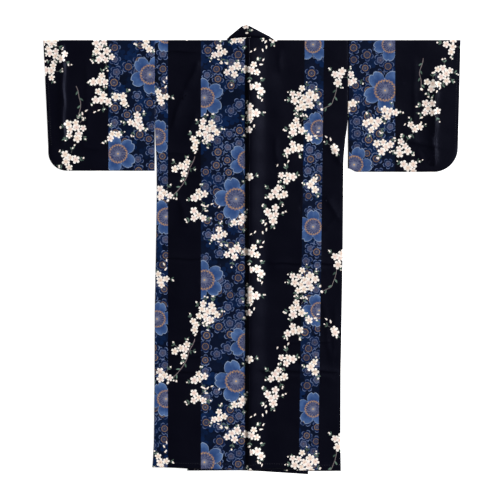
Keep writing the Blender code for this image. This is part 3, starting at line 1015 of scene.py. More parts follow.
class Nodes:
    """Short hand for building one node tree."""

    def __init__(self, tree: bpy.types.NodeTree) -> None:
        """Starts on a tree and clears it."""
        self.tree = tree
        tree.nodes.clear()
        self.count = 0

    def add(self, kind: str, **settings: object) -> bpy.types.Node:
        """A new node beside the last one.

        Args:
            kind: Type name of the node.
            settings: Values of its properties.

        Returns:
            The node.
        """
        node = self.tree.nodes.new(kind)
        node.location = (180 * (self.count % 12), -220 * (self.count // 12))
        self.count += 1
        for name, value in settings.items():
            setattr(node, name, value)
        return node

    def put(self, socket: Socket, value: object) -> None:
        """Links a socket or sets a plain value."""
        if isinstance(value, Socket):
            self.tree.links.new(value, socket)
        else:
            socket.default_value = value

    def math(self, operation: str, *values: object, clamp: bool = False) -> Socket:
        """A Math node.

        Args:
            operation: What it does.
            values: Its inputs, as sockets or plain values.
            clamp: Whether the result is kept from 0 to 1.

        Returns:
            The result.
        """
        node = self.add("ShaderNodeMath", operation=operation, use_clamp=clamp)
        for socket, value in zip(node.inputs, values):
            self.put(socket, value)
        return node.outputs[0]

    def mix(self, share: object, low: object, high: object) -> Socket:
        """A colour between two colours.

        Args:
            share: How much of the second one shows.
            low: The first colour.
            high: The second colour.

        Returns:
            The mixed colour.
        """
        node = self.add("ShaderNodeMix", data_type="RGBA", clamp_factor=True)
        self.put(node.inputs["Factor"], share)
        self.put(node.inputs[6], low)
        self.put(node.inputs[7], high)
        return node.outputs[2]

    def noise(self, vector: object, scale: float, detail: float = 2.0) -> Socket:
        """A noise value.

        Args:
            vector: Where it is read.
            scale: How fine it is.
            detail: How many finer octaves are added.

        Returns:
            A value around 0.5.
        """
        node = self.add("ShaderNodeTexNoise")
        self.put(node.inputs["Vector"], vector)
        self.put(node.inputs["Scale"], scale)
        self.put(node.inputs["Detail"], detail)
        return node.outputs["Fac"]

    def ramp(self, value: object, stops: tuple) -> Socket:
        """A colour that follows a value.

        Args:
            value: The value.
            stops: Place and colour of each stop in order.

        Returns:
            The colour.
        """
        node = self.add("ShaderNodeValToRGB")
        self.put(node.inputs["Fac"], value)
        elements = node.color_ramp.elements
        elements[0].position, elements[0].color = stops[0]
        elements[1].position, elements[1].color = stops[-1]
        for place, colour in stops[1:-1]:
            elements.new(place).color = colour
        return node.outputs["Color"]

    def split(self, vector: object) -> bpy.types.NodeOutputs:
        """The three parts of a vector.

        Args:
            vector: The vector.

        Returns:
            Its x, y and z.
        """
        node = self.add("ShaderNodeSeparateXYZ")
        self.put(node.inputs[0], vector)
        return node.outputs

    def surface(self, **values: object) -> None:
        """A Principled BSDF with the named inputs set, as the material's surface."""
        shader = self.add("ShaderNodeBsdfPrincipled")
        for name, value in values.items():
            self.put(shader.inputs[socket_name(name)], value)
        self.put(self.add("ShaderNodeOutputMaterial").inputs["Surface"], shader.outputs[0])

    def group(self, tree: bpy.types.NodeTree, **values: object) -> dict:
        """A group node.

        Args:
            tree: The group.
            values: Its named inputs, with _ for a space.

        Returns:
            Its outputs by name.
        """
        node = self.add("ShaderNodeGroup", node_tree=tree)
        for name, value in values.items():
            self.put(node.inputs[socket_name(name)], value)
        return {output.name: output for output in node.outputs}

    def result(self, **values: object) -> None:
        """The outputs of a group, by name with _ for a space."""
        out = self.add("NodeGroupOutput")
        for name, value in values.items():
            self.put(out.inputs[socket_name(name)], value)


def new_material(name: str) -> tuple[bpy.types.Material, Nodes]:
    """A new material without nodes.

    Args:
        name: Name of the material.

    Returns:
        The material, and the builder of its nodes.
    """
    material = bpy.data.materials.new(name)
    material.use_nodes = True
    return material, Nodes(material.node_tree)


def new_group(name: str, inputs: tuple, outputs: tuple) -> bpy.types.NodeTree:
    """An empty shader group with named sockets.

    Args:
        name: Name of the group.
        inputs: Name, socket type and starting value of each input.
        outputs: Name and socket type of each output.

    Returns:
        The group's node tree.
    """
    tree = bpy.data.node_groups.new(name, "ShaderNodeTree")
    for label, kind, value in inputs:
        socket = tree.interface.new_socket(name=label, in_out="INPUT", socket_type=kind)
        if value is not None:
            socket.default_value = value
    for label, kind in outputs:
        tree.interface.new_socket(name=label, in_out="OUTPUT", socket_type=kind)
    return tree


def petal_group() -> bpy.types.NodeTree:
    """Where a point lies in a flower: out from the middle, out to its edge, and in its petal.

    Returns:
        The group's node tree.
    """
    tree = new_group(
        "Petals",
        (
            ("Vector", "NodeSocketVector", None),
            ("Petals", "NodeSocketFloat", 5.0),
            ("Lobe", "NodeSocketFloat", 0.36),
            ("Valley", "NodeSocketFloat", 0.6),
            ("Notch", "NodeSocketFloat", 0.1),
            ("Notch Width", "NodeSocketFloat", 0.12),
        ),
        tuple((label, "NodeSocketFloat") for label in ("Radius", "Edge", "Place", "Turn")),
    )
    nodes = Nodes(tree)
    given = nodes.add("NodeGroupInput").outputs
    across, along, _ = nodes.split(given["Vector"])
    turn = nodes.math("DIVIDE", nodes.math("ARCTAN2", along, across), tau)
    length = nodes.add("ShaderNodeVectorMath", operation="LENGTH")
    nodes.put(length.inputs[0], given["Vector"])
    radius = length.outputs["Value"]
    cycle = nodes.math("FRACT", nodes.math("MULTIPLY_ADD", turn, given["Petals"], given["Petals"]))
    place = nodes.math("ABSOLUTE", nodes.math("SUBTRACT", cycle, 0.5))
    angle = nodes.math("DIVIDE", nodes.math("MULTIPLY", place, tau), given["Petals"])
    middle = nodes.math("SUBTRACT", 1.0, given["Lobe"])
    aside = nodes.math("MULTIPLY", middle, nodes.math("SINE", angle))
    along = nodes.math("MULTIPLY", middle, nodes.math("COSINE", angle))
    lobe_square = nodes.math("MULTIPLY", given["Lobe"], given["Lobe"])
    left = nodes.math("SUBTRACT", lobe_square, nodes.math("MULTIPLY", aside, aside))
    far = nodes.math("ADD", along, nodes.math("SQRT", nodes.math("MAXIMUM", left, 0.0)))
    in_lobe = nodes.math("GREATER_THAN", left, 0.0)
    step = nodes.math("MULTIPLY", nodes.math("SUBTRACT", far, given["Valley"]), in_lobe)
    reach = nodes.math("ADD", given["Valley"], step)
    dent = nodes.math("SUBTRACT", 1.0, nodes.math("DIVIDE", place, given["Notch Width"]), clamp=True)
    reach = nodes.math("SUBTRACT", reach, nodes.math("MULTIPLY", dent, given["Notch"]))
    nodes.result(radius=radius, edge=nodes.math("DIVIDE", radius, reach), place=place, turn=turn)
    return tree


def band_group() -> bpy.types.NodeTree:
    """A soft band: 1 where a value is near its middle, 0 past its half width.

    Returns:
        The group's node tree.
    """
    tree = new_group(
        "Band",
        (
            ("Value", "NodeSocketFloat", 0.0),
            ("Middle", "NodeSocketFloat", 0.5),
            ("Half Width", "NodeSocketFloat", 0.1),
            ("Softness", "NodeSocketFloat", 0.02),
        ),
        (("Mask", "NodeSocketFloat"),),
    )
    nodes = Nodes(tree)
    given = nodes.add("NodeGroupInput").outputs
    away = nodes.math("ABSOLUTE", nodes.math("SUBTRACT", given["Value"], given["Middle"]))
    over = nodes.math("DIVIDE", nodes.math("SUBTRACT", away, given["Half Width"]), given["Softness"])
    nodes.result(mask=nodes.math("SUBTRACT", 1.0, over, clamp=True))
    return tree


def weave_group() -> bpy.types.NodeTree:
    """Plain weave: the height of crossing threads, and their slight unevenness.

    Returns:
        The group's node tree.
    """
    tree = new_group(
        "Plain weave",
        (("Vector", "NodeSocketVector", None), ("Threads", "NodeSocketFloat", 2200.0)),
        (("Height", "NodeSocketFloat"), ("Unevenness", "NodeSocketFloat")),
    )
    nodes = Nodes(tree)
    given = nodes.add("NodeGroupInput").outputs
    across, along, _ = nodes.split(given["Vector"])
    count = nodes.math("MULTIPLY", given["Threads"], pi)
    warp = nodes.math("SINE", nodes.math("MULTIPLY", across, count))
    weft = nodes.math("SINE", nodes.math("MULTIPLY", along, count))
    height = nodes.math("MULTIPLY_ADD", nodes.math("MULTIPLY", warp, weft), 0.5, 0.5)
    stretch = nodes.add("ShaderNodeVectorMath", operation="MULTIPLY")
    nodes.put(stretch.inputs[0], given["Vector"])
    stretch.inputs[1].default_value = (900.0, 40.0, 1.0)
    slub = nodes.noise(stretch.outputs[0], 1.0, 3.0)
    nodes.result(height=nodes.math("MULTIPLY_ADD", slub, 0.6, height), unevenness=slub)
    return tree


def wear_group() -> bpy.types.NodeTree:
    """Washing wear: large soft patches and fine lint where the dye has paled a little.

    Returns:
        The group's node tree.
    """
    tree = new_group(
        "Washing wear",
        (("Vector", "NodeSocketVector", None), ("Amount", "NodeSocketFloat", 0.5)),
        (("Pale", "NodeSocketFloat"), ("Crumple", "NodeSocketFloat")),
    )
    nodes = Nodes(tree)
    given = nodes.add("NodeGroupInput").outputs
    broad = nodes.noise(given["Vector"], 9.0, 3.0)
    lint = nodes.noise(given["Vector"], 420.0, 2.0)
    both = nodes.math("MULTIPLY_ADD", lint, 0.5, nodes.math("MULTIPLY", broad, 0.8))
    pale = nodes.math("MULTIPLY", nodes.math("SUBTRACT", both, 0.45, clamp=True), given["Amount"])
    nodes.result(pale=pale, crumple=nodes.noise(given["Vector"], 38.0, 4.0))
    return tree


@dataclass(frozen=True)
class Drawing:
    """What the printed motifs are drawn with: the node tree, its groups and the cloth's own maps."""

    nodes: Nodes
    petals: bpy.types.NodeTree
    band: bpy.types.NodeTree
    local: Socket
    cloth: Socket
    tone: Socket

    def where(self, shape: FlowerShape) -> dict:
        """Where a point lies in a flower of one shape."""
        return self.nodes.group(
            self.petals,
            vector=self.local,
            petals=shape.petals,
            lobe=shape.lobe,
            valley=shape.valley,
            notch=shape.notch,
            notch_width=shape.notch_width,
        )

    def mask(self, value: object, middle: float, half_width: float, soft: float) -> Socket:
        """A soft band.

        Args:
            value: What is measured.
            middle: Where the band's middle is.
            half_width: How far from it the band is full.
            soft: How far past that it eases to 0.

        Returns:
            1 in the band and 0 away from it.
        """
        settings = {"middle": middle, "half_width": half_width, "softness": soft}
        return self.nodes.group(self.band, value=value, **settings)["Mask"]

    def part(self, value: object, factor: float, more: float) -> Socket:
        """A value times a factor and more, kept from 0 to 1."""
        return self.nodes.math("MULTIPLY_ADD", value, factor, more, clamp=True)

    def wave(self, value: object, cycles: float) -> Socket:
        """A wave from -1 to 1 that runs through so many cycles as a value goes from 0 to 1."""
        return self.nodes.math("SINE", self.nodes.math("MULTIPLY", value, tau * cycles))

    def times(self, first: object, second: object) -> Socket:
        """One value times another."""
        return self.nodes.math("MULTIPLY", first, second)

    def over(self, mask: object, strength: object, below: object, code: str) -> Socket:
        """A colour laid over what is below it, through a mask and at a strength.

        Args:
            mask: Where the colour goes.
            strength: How much of it shows there.
            below: The colour that is already there.
            code: The colour laid over it.

        Returns:
            The two colours together.
        """
        return self.nodes.mix(self.times(mask, strength), below, ink(code))


def ink(code: str) -> tuple[float, float, float, float]:
    """A colour from its six-digit code, as the shader needs it."""
    parts = [int(code[at : at + 2], 16) / 255 for at in (1, 3, 5)]
    return tuple(c / 12.92 if c < 0.04045 else ((c + 0.055) / 1.055) ** 2.4 for c in parts) + (1.0,)


@dataclass(frozen=True)
class PrintedCotton:
    """Finish of the robe: dyed plain-weave cotton with its printed flowers."""

    black: str = "#05050f"
    navy: str = "#060f24"
    gap: str = "#050a17"
    shadow: str = "#0a2249"
    lint: str = "#5a5d68"
    outline_blue: str = "#7486ac"
    petal_navy: str = "#091230"
    petal_blue: str = "#11264f"
    lilac: str = "#6e7292"
    gold: str = "#94785c"
    pale_dot: str = "#9c9a9c"
    large_deep: str = "#22396a"
    large_inner: str = "#2b4678"
    large_mid: str = "#3d5684"
    large_light: str = "#5d7cae"
    large_line: str = "#8c9db8"
    heart_navy: str = "#2a3458"
    heart_streak: str = "#80829e"
    heart_glow: str = "#9496a8"
    ring_gold: str = "#ab8663"
    dot_gold: str = "#cfa566"
    cream: str = "#fffaf4"
    pink: str = "#efd8ce"
    tan: str = "#eedac6"
    core: str = "#b97f7a"
    petal_gap: str = "#c9a49a"
    petal_edge: str = "#b49c98"
    leaf: str = "#728a7c"
    leaf_dark: str = "#3e5047"
    twig: str = "#4f5854"
    twig_pink: str = "#8a7a7e"
    gloss: str = "#cdd4ff"
    roughness: float = 0.43
    shine: float = 0.09
    wear: float = 0.02

    def material(self) -> bpy.types.Material:
        """The cloth's material.

        Returns:
            The material, with every motif laid over the ground where its faces are.
        """
        material, nodes = new_material("printed_cotton")
        draw = Drawing(
            nodes=nodes,
            petals=petal_group(),
            band=band_group(),
            local=nodes.add("ShaderNodeUVMap", uv_map="motif").outputs[0],
            cloth=nodes.add("ShaderNodeUVMap", uv_map="cloth").outputs[0],
            tone=nodes.add("ShaderNodeAttribute", attribute_name="motif_tone").outputs["Fac"],
        )
        kind = nodes.add("ShaderNodeAttribute", attribute_name="motif_kind").outputs["Fac"]
        stripe = nodes.add("ShaderNodeAttribute", attribute_name="blue_stripe").outputs["Fac"]
        wear = nodes.group(wear_group(), vector=draw.cloth, amount=self.wear)
        weave = nodes.group(weave_group(), vector=draw.cloth)
        base = nodes.mix(stripe, ink(self.black), ink(self.navy))
        drop_colour = self.petal_colour(draw)
        layers = (
            (Motif.SHADOW_FLOWER, self.shadow_flower(draw)),
            (Motif.LACE_FLOWER, self.lace_flower(draw)),
            (Motif.RING_FLOWER, self.ring_flower(draw)),
            (Motif.LARGE_FLOWER, self.large_flower(draw)),
            (Motif.STEM, nodes.mix(draw.tone, ink(self.twig), ink(self.twig_pink))),
            (Motif.LEAF, self.leaf_colour(draw)),
            (Motif.PETAL, drop_colour),
            (Motif.BUD, drop_colour),
            (Motif.BLOSSOM, self.blossom(draw)),
        )
        for motif, colour in layers:
            chosen = nodes.math("COMPARE", kind, float(motif.value), 0.4)
            base = nodes.mix(chosen, base, colour)
        base = nodes.mix(wear["Pale"], base, ink(self.lint))
        shaded = nodes.add("ShaderNodeVectorMath", operation="SCALE")
        nodes.put(shaded.inputs[0], base)
        nodes.put(shaded.inputs["Scale"], nodes.math("MULTIPLY_ADD", weave["Unevenness"], 0.35, 0.82))
        nodes.surface(
            base_color=shaded.outputs[0],
            roughness=nodes.math("MULTIPLY_ADD", weave["Unevenness"], 0.12, self.roughness - 0.06),
            specular_ior_level=self.shine,
            specular_tint=ink(self.gloss),
            normal=self.relief(nodes, wear["Crumple"], weave["Height"]),
        )
        return material

    def relief(self, nodes: Nodes, crumple: object, weave: object) -> Socket:
        """Soft crumples with the threads of the weave on them.

        Args:
            nodes: The material's tree.
            crumple: Height of the crumples.
            weave: Height of the threads.

        Returns:
            The normal of the cloth.
        """
        normal = None
        for height, strength, distance in ((crumple, 0.35, 0.0012), (weave, 0.25, 0.0002)):
            bump = nodes.add("ShaderNodeBump")
            nodes.put(bump.inputs["Height"], height)
            nodes.put(bump.inputs["Strength"], strength)
            nodes.put(bump.inputs["Distance"], distance)
            if normal is not None:
                nodes.put(bump.inputs["Normal"], normal)
            normal = bump.outputs[0]
        return normal

    def shadow_flower(self, draw: Drawing) -> Socket:
        """A plain dark flower without a line round it, a little darker in the middle.

        Args:
            draw: What the motif is drawn with.

        Returns:
            Its colour.
        """
        colour = draw.nodes.mix(draw.tone, ink(self.gap), ink(self.shadow))
        heart = draw.mask(draw.where(SHADOW_SHAPE)["Radius"], 0.0, 0.10, 0.30)
        return draw.over(heart, 0.35, colour, self.gap)

    def outlined_petals(self, draw: Drawing, where: dict, strength: object) -> Socket:
        """Dark petals with a thin line round them that is strongest at the tips.

        Args:
            draw: What the motif is drawn with.
            where: Where each point lies in the flower.
            strength: How much of the line shows.

        Returns:
            The colour of the petals.
        """
        outer = draw.part(where["Edge"], 1.2, -0.35)
        colour = draw.nodes.mix(outer, ink(self.petal_navy), ink(self.petal_blue))
        line = draw.mask(where["Edge"], 0.945, 0.035, 0.060)
        tip = draw.part(where["Place"], -0.9, 1.05)
        faint = draw.part(draw.nodes.noise(draw.cloth, 55.0, 1.0), 3.2, -0.80)
        share = draw.times(draw.times(line, tip), faint)
        colour = draw.over(share, strength, colour, self.outline_blue)
        return draw.over(draw.mask(where["Place"], 0.5, 0.02, 0.06), 0.8, colour, self.gap)

    def lace_flower(self, draw: Drawing) -> Socket:
        """An outlined flower with a grey-lilac lacy heart.

        Args:
            draw: What the motif is drawn with.

        Returns:
            Its colour.
        """
        where = draw.where(SMALL_SHAPE)
        strength = draw.part(draw.tone, 0.45, 0.55)
        colour = self.outlined_petals(draw, where, strength)
        mesh = draw.times(draw.wave(where["Turn"], 15.0), draw.wave(where["Radius"], 8.0))
        lace = draw.times(draw.part(mesh, 0.45, 0.42), strength)
        scallop = draw.nodes.math("MULTIPLY_ADD", where["Place"], 0.22, where["Radius"])
        colour = draw.over(draw.mask(scallop, 0.0, 0.50, 0.05), lace, colour, self.lilac)
        rim = draw.mask(scallop, 0.52, 0.015, 0.04)
        colour = draw.over(draw.times(rim, strength), 0.7, colour, self.outline_blue)
        return draw.over(draw.mask(where["Radius"], 0.0, 0.04, 0.05), 0.6, colour, self.gold)

    def ring_flower(self, draw: Drawing) -> Socket:
        """An outlined flower with a thin dull gold ring and fine rays in it.

        Args:
            draw: What the motif is drawn with.

        Returns:
            Its colour.
        """
        where = draw.where(SMALL_SHAPE)
        strength = draw.part(draw.tone, 0.45, 0.60)
        colour = self.outlined_petals(draw, where, strength)
        rays = draw.times(draw.part(draw.wave(where["Turn"], 9.0), 0.30, 0.26), strength)
        colour = draw.over(draw.mask(where["Radius"], 0.22, 0.12, 0.06), rays, colour, self.lilac)
        wobble = draw.wave(where["Turn"], 7.0)
        bent = draw.nodes.math("MULTIPLY_ADD", wobble, 0.014, where["Radius"])
        colour = draw.over(draw.mask(bent, 0.46, 0.022, 0.045), strength, colour, self.gold)
        dot = draw.mask(where["Radius"], 0.0, 0.045, 0.06)
        return draw.over(dot, draw.part(draw.tone, 0.8, 0.0), colour, self.pale_dot)

    def large_flower(self, draw: Drawing) -> Socket:
        """A large blue flower: shaded petals with a pale line, and a knotted gold ring.

        Args:
            draw: What the motif is drawn with.

        Returns:
            Its colour.
        """
        where = draw.where(LARGE_SHAPE)
        blue = draw.nodes.ramp(
            where["Edge"],
            (
                (0.35, ink(self.large_deep)),
                (0.62, ink(self.large_inner)),
                (0.90, ink(self.large_mid)),
            ),
        )
        wash = draw.part(draw.nodes.noise(draw.cloth, 30.0, 3.0), 4.0, -1.76)
        outward = draw.part(where["Edge"], 1.6, -0.72)
        blue = draw.over(wash, outward, blue, self.large_light)
        blue = draw.over(draw.part(draw.wave(where["Turn"], 55.0), 0.06, 0.06), 1.0, blue, self.large_deep)
        outer = draw.nodes.math("GREATER_THAN", where["Radius"], 0.50)
        split = draw.times(draw.mask(where["Place"], 0.5, 0.008, 0.02), outer)
        blue = draw.over(split, 0.8, blue, self.large_line)
        blue = draw.over(draw.mask(where["Edge"], 0.99, 0.018, 0.03), 0.85, blue, self.large_line)
        heart = draw.mask(where["Radius"], 0.0, 0.42, 0.05)
        blue = draw.over(heart, 1.0, blue, self.heart_navy)
        streaks = draw.part(draw.nodes.noise(self.rays(draw, where), 1.0, 3.0), 3.2, -1.25)
        blue = draw.over(draw.times(heart, streaks), 0.75, blue, self.heart_streak)
        glow = draw.mask(where["Radius"], 0.0, 0.04, 0.16)
        blue = draw.over(glow, 0.7, blue, self.heart_glow)
        wobble = draw.wave(where["Turn"], 20.0)
        bent = draw.nodes.math("MULTIPLY_ADD", wobble, 0.024, where["Radius"])
        uneven = draw.part(draw.nodes.noise(draw.cloth, 160.0, 2.0), 3.0, -0.55)
        ring = draw.times(draw.mask(bent, 0.46, 0.024, 0.032), uneven)
        blue = draw.over(ring, draw.part(wobble, 0.30, 0.80), blue, self.ring_gold)
        return draw.over(draw.mask(where["Radius"], 0.0, 0.03, 0.02), 1.0, blue, self.dot_gold)

    def rays(self, draw: Drawing, where: dict) -> Socket:
        """A place that runs slowly outwards and fast round, for fine rays.

        Args:
            draw: What the motif is drawn with.
            where: Where each point lies in the flower.

        Returns:
            The place.
        """
        join = draw.nodes.add("ShaderNodeCombineXYZ")
        draw.nodes.put(join.inputs[0], draw.times(where["Turn"], 60.0))
        draw.nodes.put(join.inputs[1], draw.times(where["Radius"], 7.0))
        return join.outputs[0]

    def leaf_colour(self, draw: Drawing) -> Socket:
        """A grey-green leaf with a darker rib.

        Args:
            draw: What the motif is drawn with.

        Returns:
            Its colour.
        """
        aside = draw.nodes.split(draw.local)[1]
        green = draw.nodes.mix(draw.tone, ink(self.leaf), ink(self.leaf_dark))
        return draw.over(draw.mask(aside, 0.0, 0.03, 0.05), 0.5, green, self.leaf_dark)

    def petal_colour(self, draw: Drawing) -> Socket:
        """A fallen petal or a bud: cream, pink towards its base.

        Args:
            draw: What the motif is drawn with.

        Returns:
            Its colour.
        """
        share = draw.part(draw.nodes.split(draw.local)[0], -0.5, 0.4)
        base = draw.nodes.mix(draw.tone, ink(self.pink), ink(self.tan))
        return draw.nodes.mix(share, ink(self.cream), base)

    def blossom(self, draw: Drawing) -> Socket:
        """A pale blossom: white tips, a pink or tan star in the middle, thin lines between.

        Args:
            draw: What the motif is drawn with.

        Returns:
            Its colour.
        """
        where = draw.where(BLOSSOM_SHAPE)
        heart = draw.nodes.mix(draw.tone, ink(self.pink), ink(self.tan))
        star = draw.nodes.math("MULTIPLY_ADD", where["Place"], 0.30, where["Radius"])
        colour = draw.nodes.mix(draw.part(star, -2.4, 2.05), ink(self.cream), heart)
        split = draw.mask(where["Place"], 0.5, 0.01, 0.05)
        colour = draw.over(split, 0.5, colour, self.petal_gap)
        colour = draw.over(draw.mask(where["Edge"], 1.0, 0.02, 0.05), 0.45, colour, self.petal_edge)
        return draw.over(draw.mask(where["Radius"], 0.0, 0.05, 0.11), 0.8, colour, self.core)


@dataclass
class Panel:
    """A cut piece of cloth that is charted flat and then laid in place."""

    side: Side
    drape: Drape
    material: bpy.types.Material
    grid: float = 0.0096
    under_grid: float = 0.0200
    fold_zone: float = 0.006
    fold_steps: tuple = (0.0008, 0.0016, 0.0026, 0.0045)
    name: str = field(init=False, default="panel")
    repeat: Repeat = field(init=False, default=BODY_LEFT_PRINT)
    held: ClassVar[str] = "laid"

    def chart(self) -> Chart:
        """The panel's chart."""
        raise NotImplementedError

    def place(self, points: np.ndarray) -> np.ndarray:
        """Chart points as places in the robe."""
        raise NotImplementedError

    def rests_on(self) -> list[str]:
        """Names of the nodes that the panel lies on."""
        return []

    def inner_points(self, outline: np.ndarray) -> np.ndarray:
        """Grid points over the chart, closer together where the cloth is in sight.

        Args:
            outline: The chart's outline.

        Returns:
            The points.
        """
        low, high = outline.min(0), outline.max(0)
        in_sight = np.arange(low[1] + 0.001, -self.fold_zone, self.grid)
        hidden = np.arange(max(low[1], self.fold_zone) + 0.004, high[1], self.under_grid)
        points = []
        for rows, step in ((in_sight, self.grid), (hidden, self.under_grid)):
            across, along = np.meshgrid(np.arange(low[0], high[0], step), rows)
            points.append(np.column_stack([across.ravel(), along.ravel()]))
        return np.vstack(points)

    def fold_lines(self, start: float, stop: float) -> list[np.ndarray]:
        """Lines along a fold over the top, close together where the cloth turns.

        Args:
            start: Distance of the fold's inner end from the centre seam.
            stop: Distance of its outer end.

        Returns:
            One array of points for each line.
        """
        across = spaced(start, stop, 0.008) * self.side.value
        steps = [-step for step in reversed(self.fold_steps)] + [0.0, *self.fold_steps]
        return [np.column_stack([across, np.full(len(across), step)]) for step in steps]

    def crease_lines(self, outline: np.ndarray) -> list[np.ndarray]:
        """Lines along the long creases that lie within an outline's width.

        Args:
            outline: The chart's outline.

        Returns:
            One array of points for each line.
        """
        low, high = outline[:, 0].min(), outline[:, 0].max()
        found = [line for crease in self.drape.creases for line in crease.lines()]
        return [line for line in found if low < line[:, 0].mean() < high and len(line) > 6]

    def build(self, centre: np.ndarray) -> bpy.types.Object:
        """Builds the panel.

        Args:
            centre: Where the robe's own frame lies in the model.

        Returns:
            The finished piece.
        """
        chart = self.chart()
        points, triangles, owners, blue = chart.faces()
        mesh = bpy.data.meshes.new(self.name)
        placed = self.place(points) + centre
        mesh.from_pydata(placed.tolist(), [], triangles.tolist())
        corners = points[triangles]
        local = np.zeros_like(corners)
        for number, owner in enumerate(owners):
            if owner is not None:
                local[number] = owner.local(corners[number])
        for label, values in (("cloth", corners), ("motif", local)):
            layer = mesh.uv_layers.new(name=label)
            layer.uv.foreach_set("vector", values.reshape(-1).astype(np.float32))
        kinds = [owner.motif.value if owner else Motif.GROUND.value for owner in owners]
        tones = [owner.tone if owner else 0.0 for owner in owners]
        for label, values in (("motif_kind", kinds), ("motif_tone", tones), ("blue_stripe", blue)):
            attribute = mesh.attributes.new(label, "FLOAT", "FACE")
            attribute.data.foreach_set("value", np.asarray(values, np.float32))
        mesh.shade_smooth()
        mesh.materials.append(self.material)
        piece = linked(f"{self.name}_cloth", mesh)
        shell = piece.modifiers.new("Cloth", "SOLIDIFY")
        shell.thickness = CLOTH
        shell.offset = 0.0
        area = min(chart.area(), chart.size()[0] * chart.size()[1])
        chart.size()
        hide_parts(self.name)
        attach(piece, "root")
        log.info("%s: %d faces", piece.name, len(triangles))
        return piece


def over_fold(x: np.ndarray, along: np.ndarray, top: Height, under: Height) -> np.ndarray:
    """Lays cloth that folds over along = 0: its back half on top, its front half underneath.

    Args:
        x: Places across.
        along: Places along the cloth, below 0 on the back.
        top: Height of the upper half at x and y.
        under: Height of the lower half at x and y.

    Returns:
        Places in the robe's frame.
    """
    fold = np.zeros_like(x)
    top_edge, under_edge = top(x, fold), under(x, fold)
    radius = (top_edge - under_edge) / 2
    turn = np.clip(along / radius, -pi / 2, pi / 2)
    beyond = np.clip(np.abs(along) - radius * pi / 2, 0, None)
    y = radius * (np.cos(turn) - 1) - beyond
    fold_z = (top_edge + under_edge) / 2 - radius * np.sin(turn)
    above = top(x, y) - top_edge
    below = under(x, y) - under_edge
    return np.column_stack([x, y, fold_z + np.where(along < 0, above, below)])


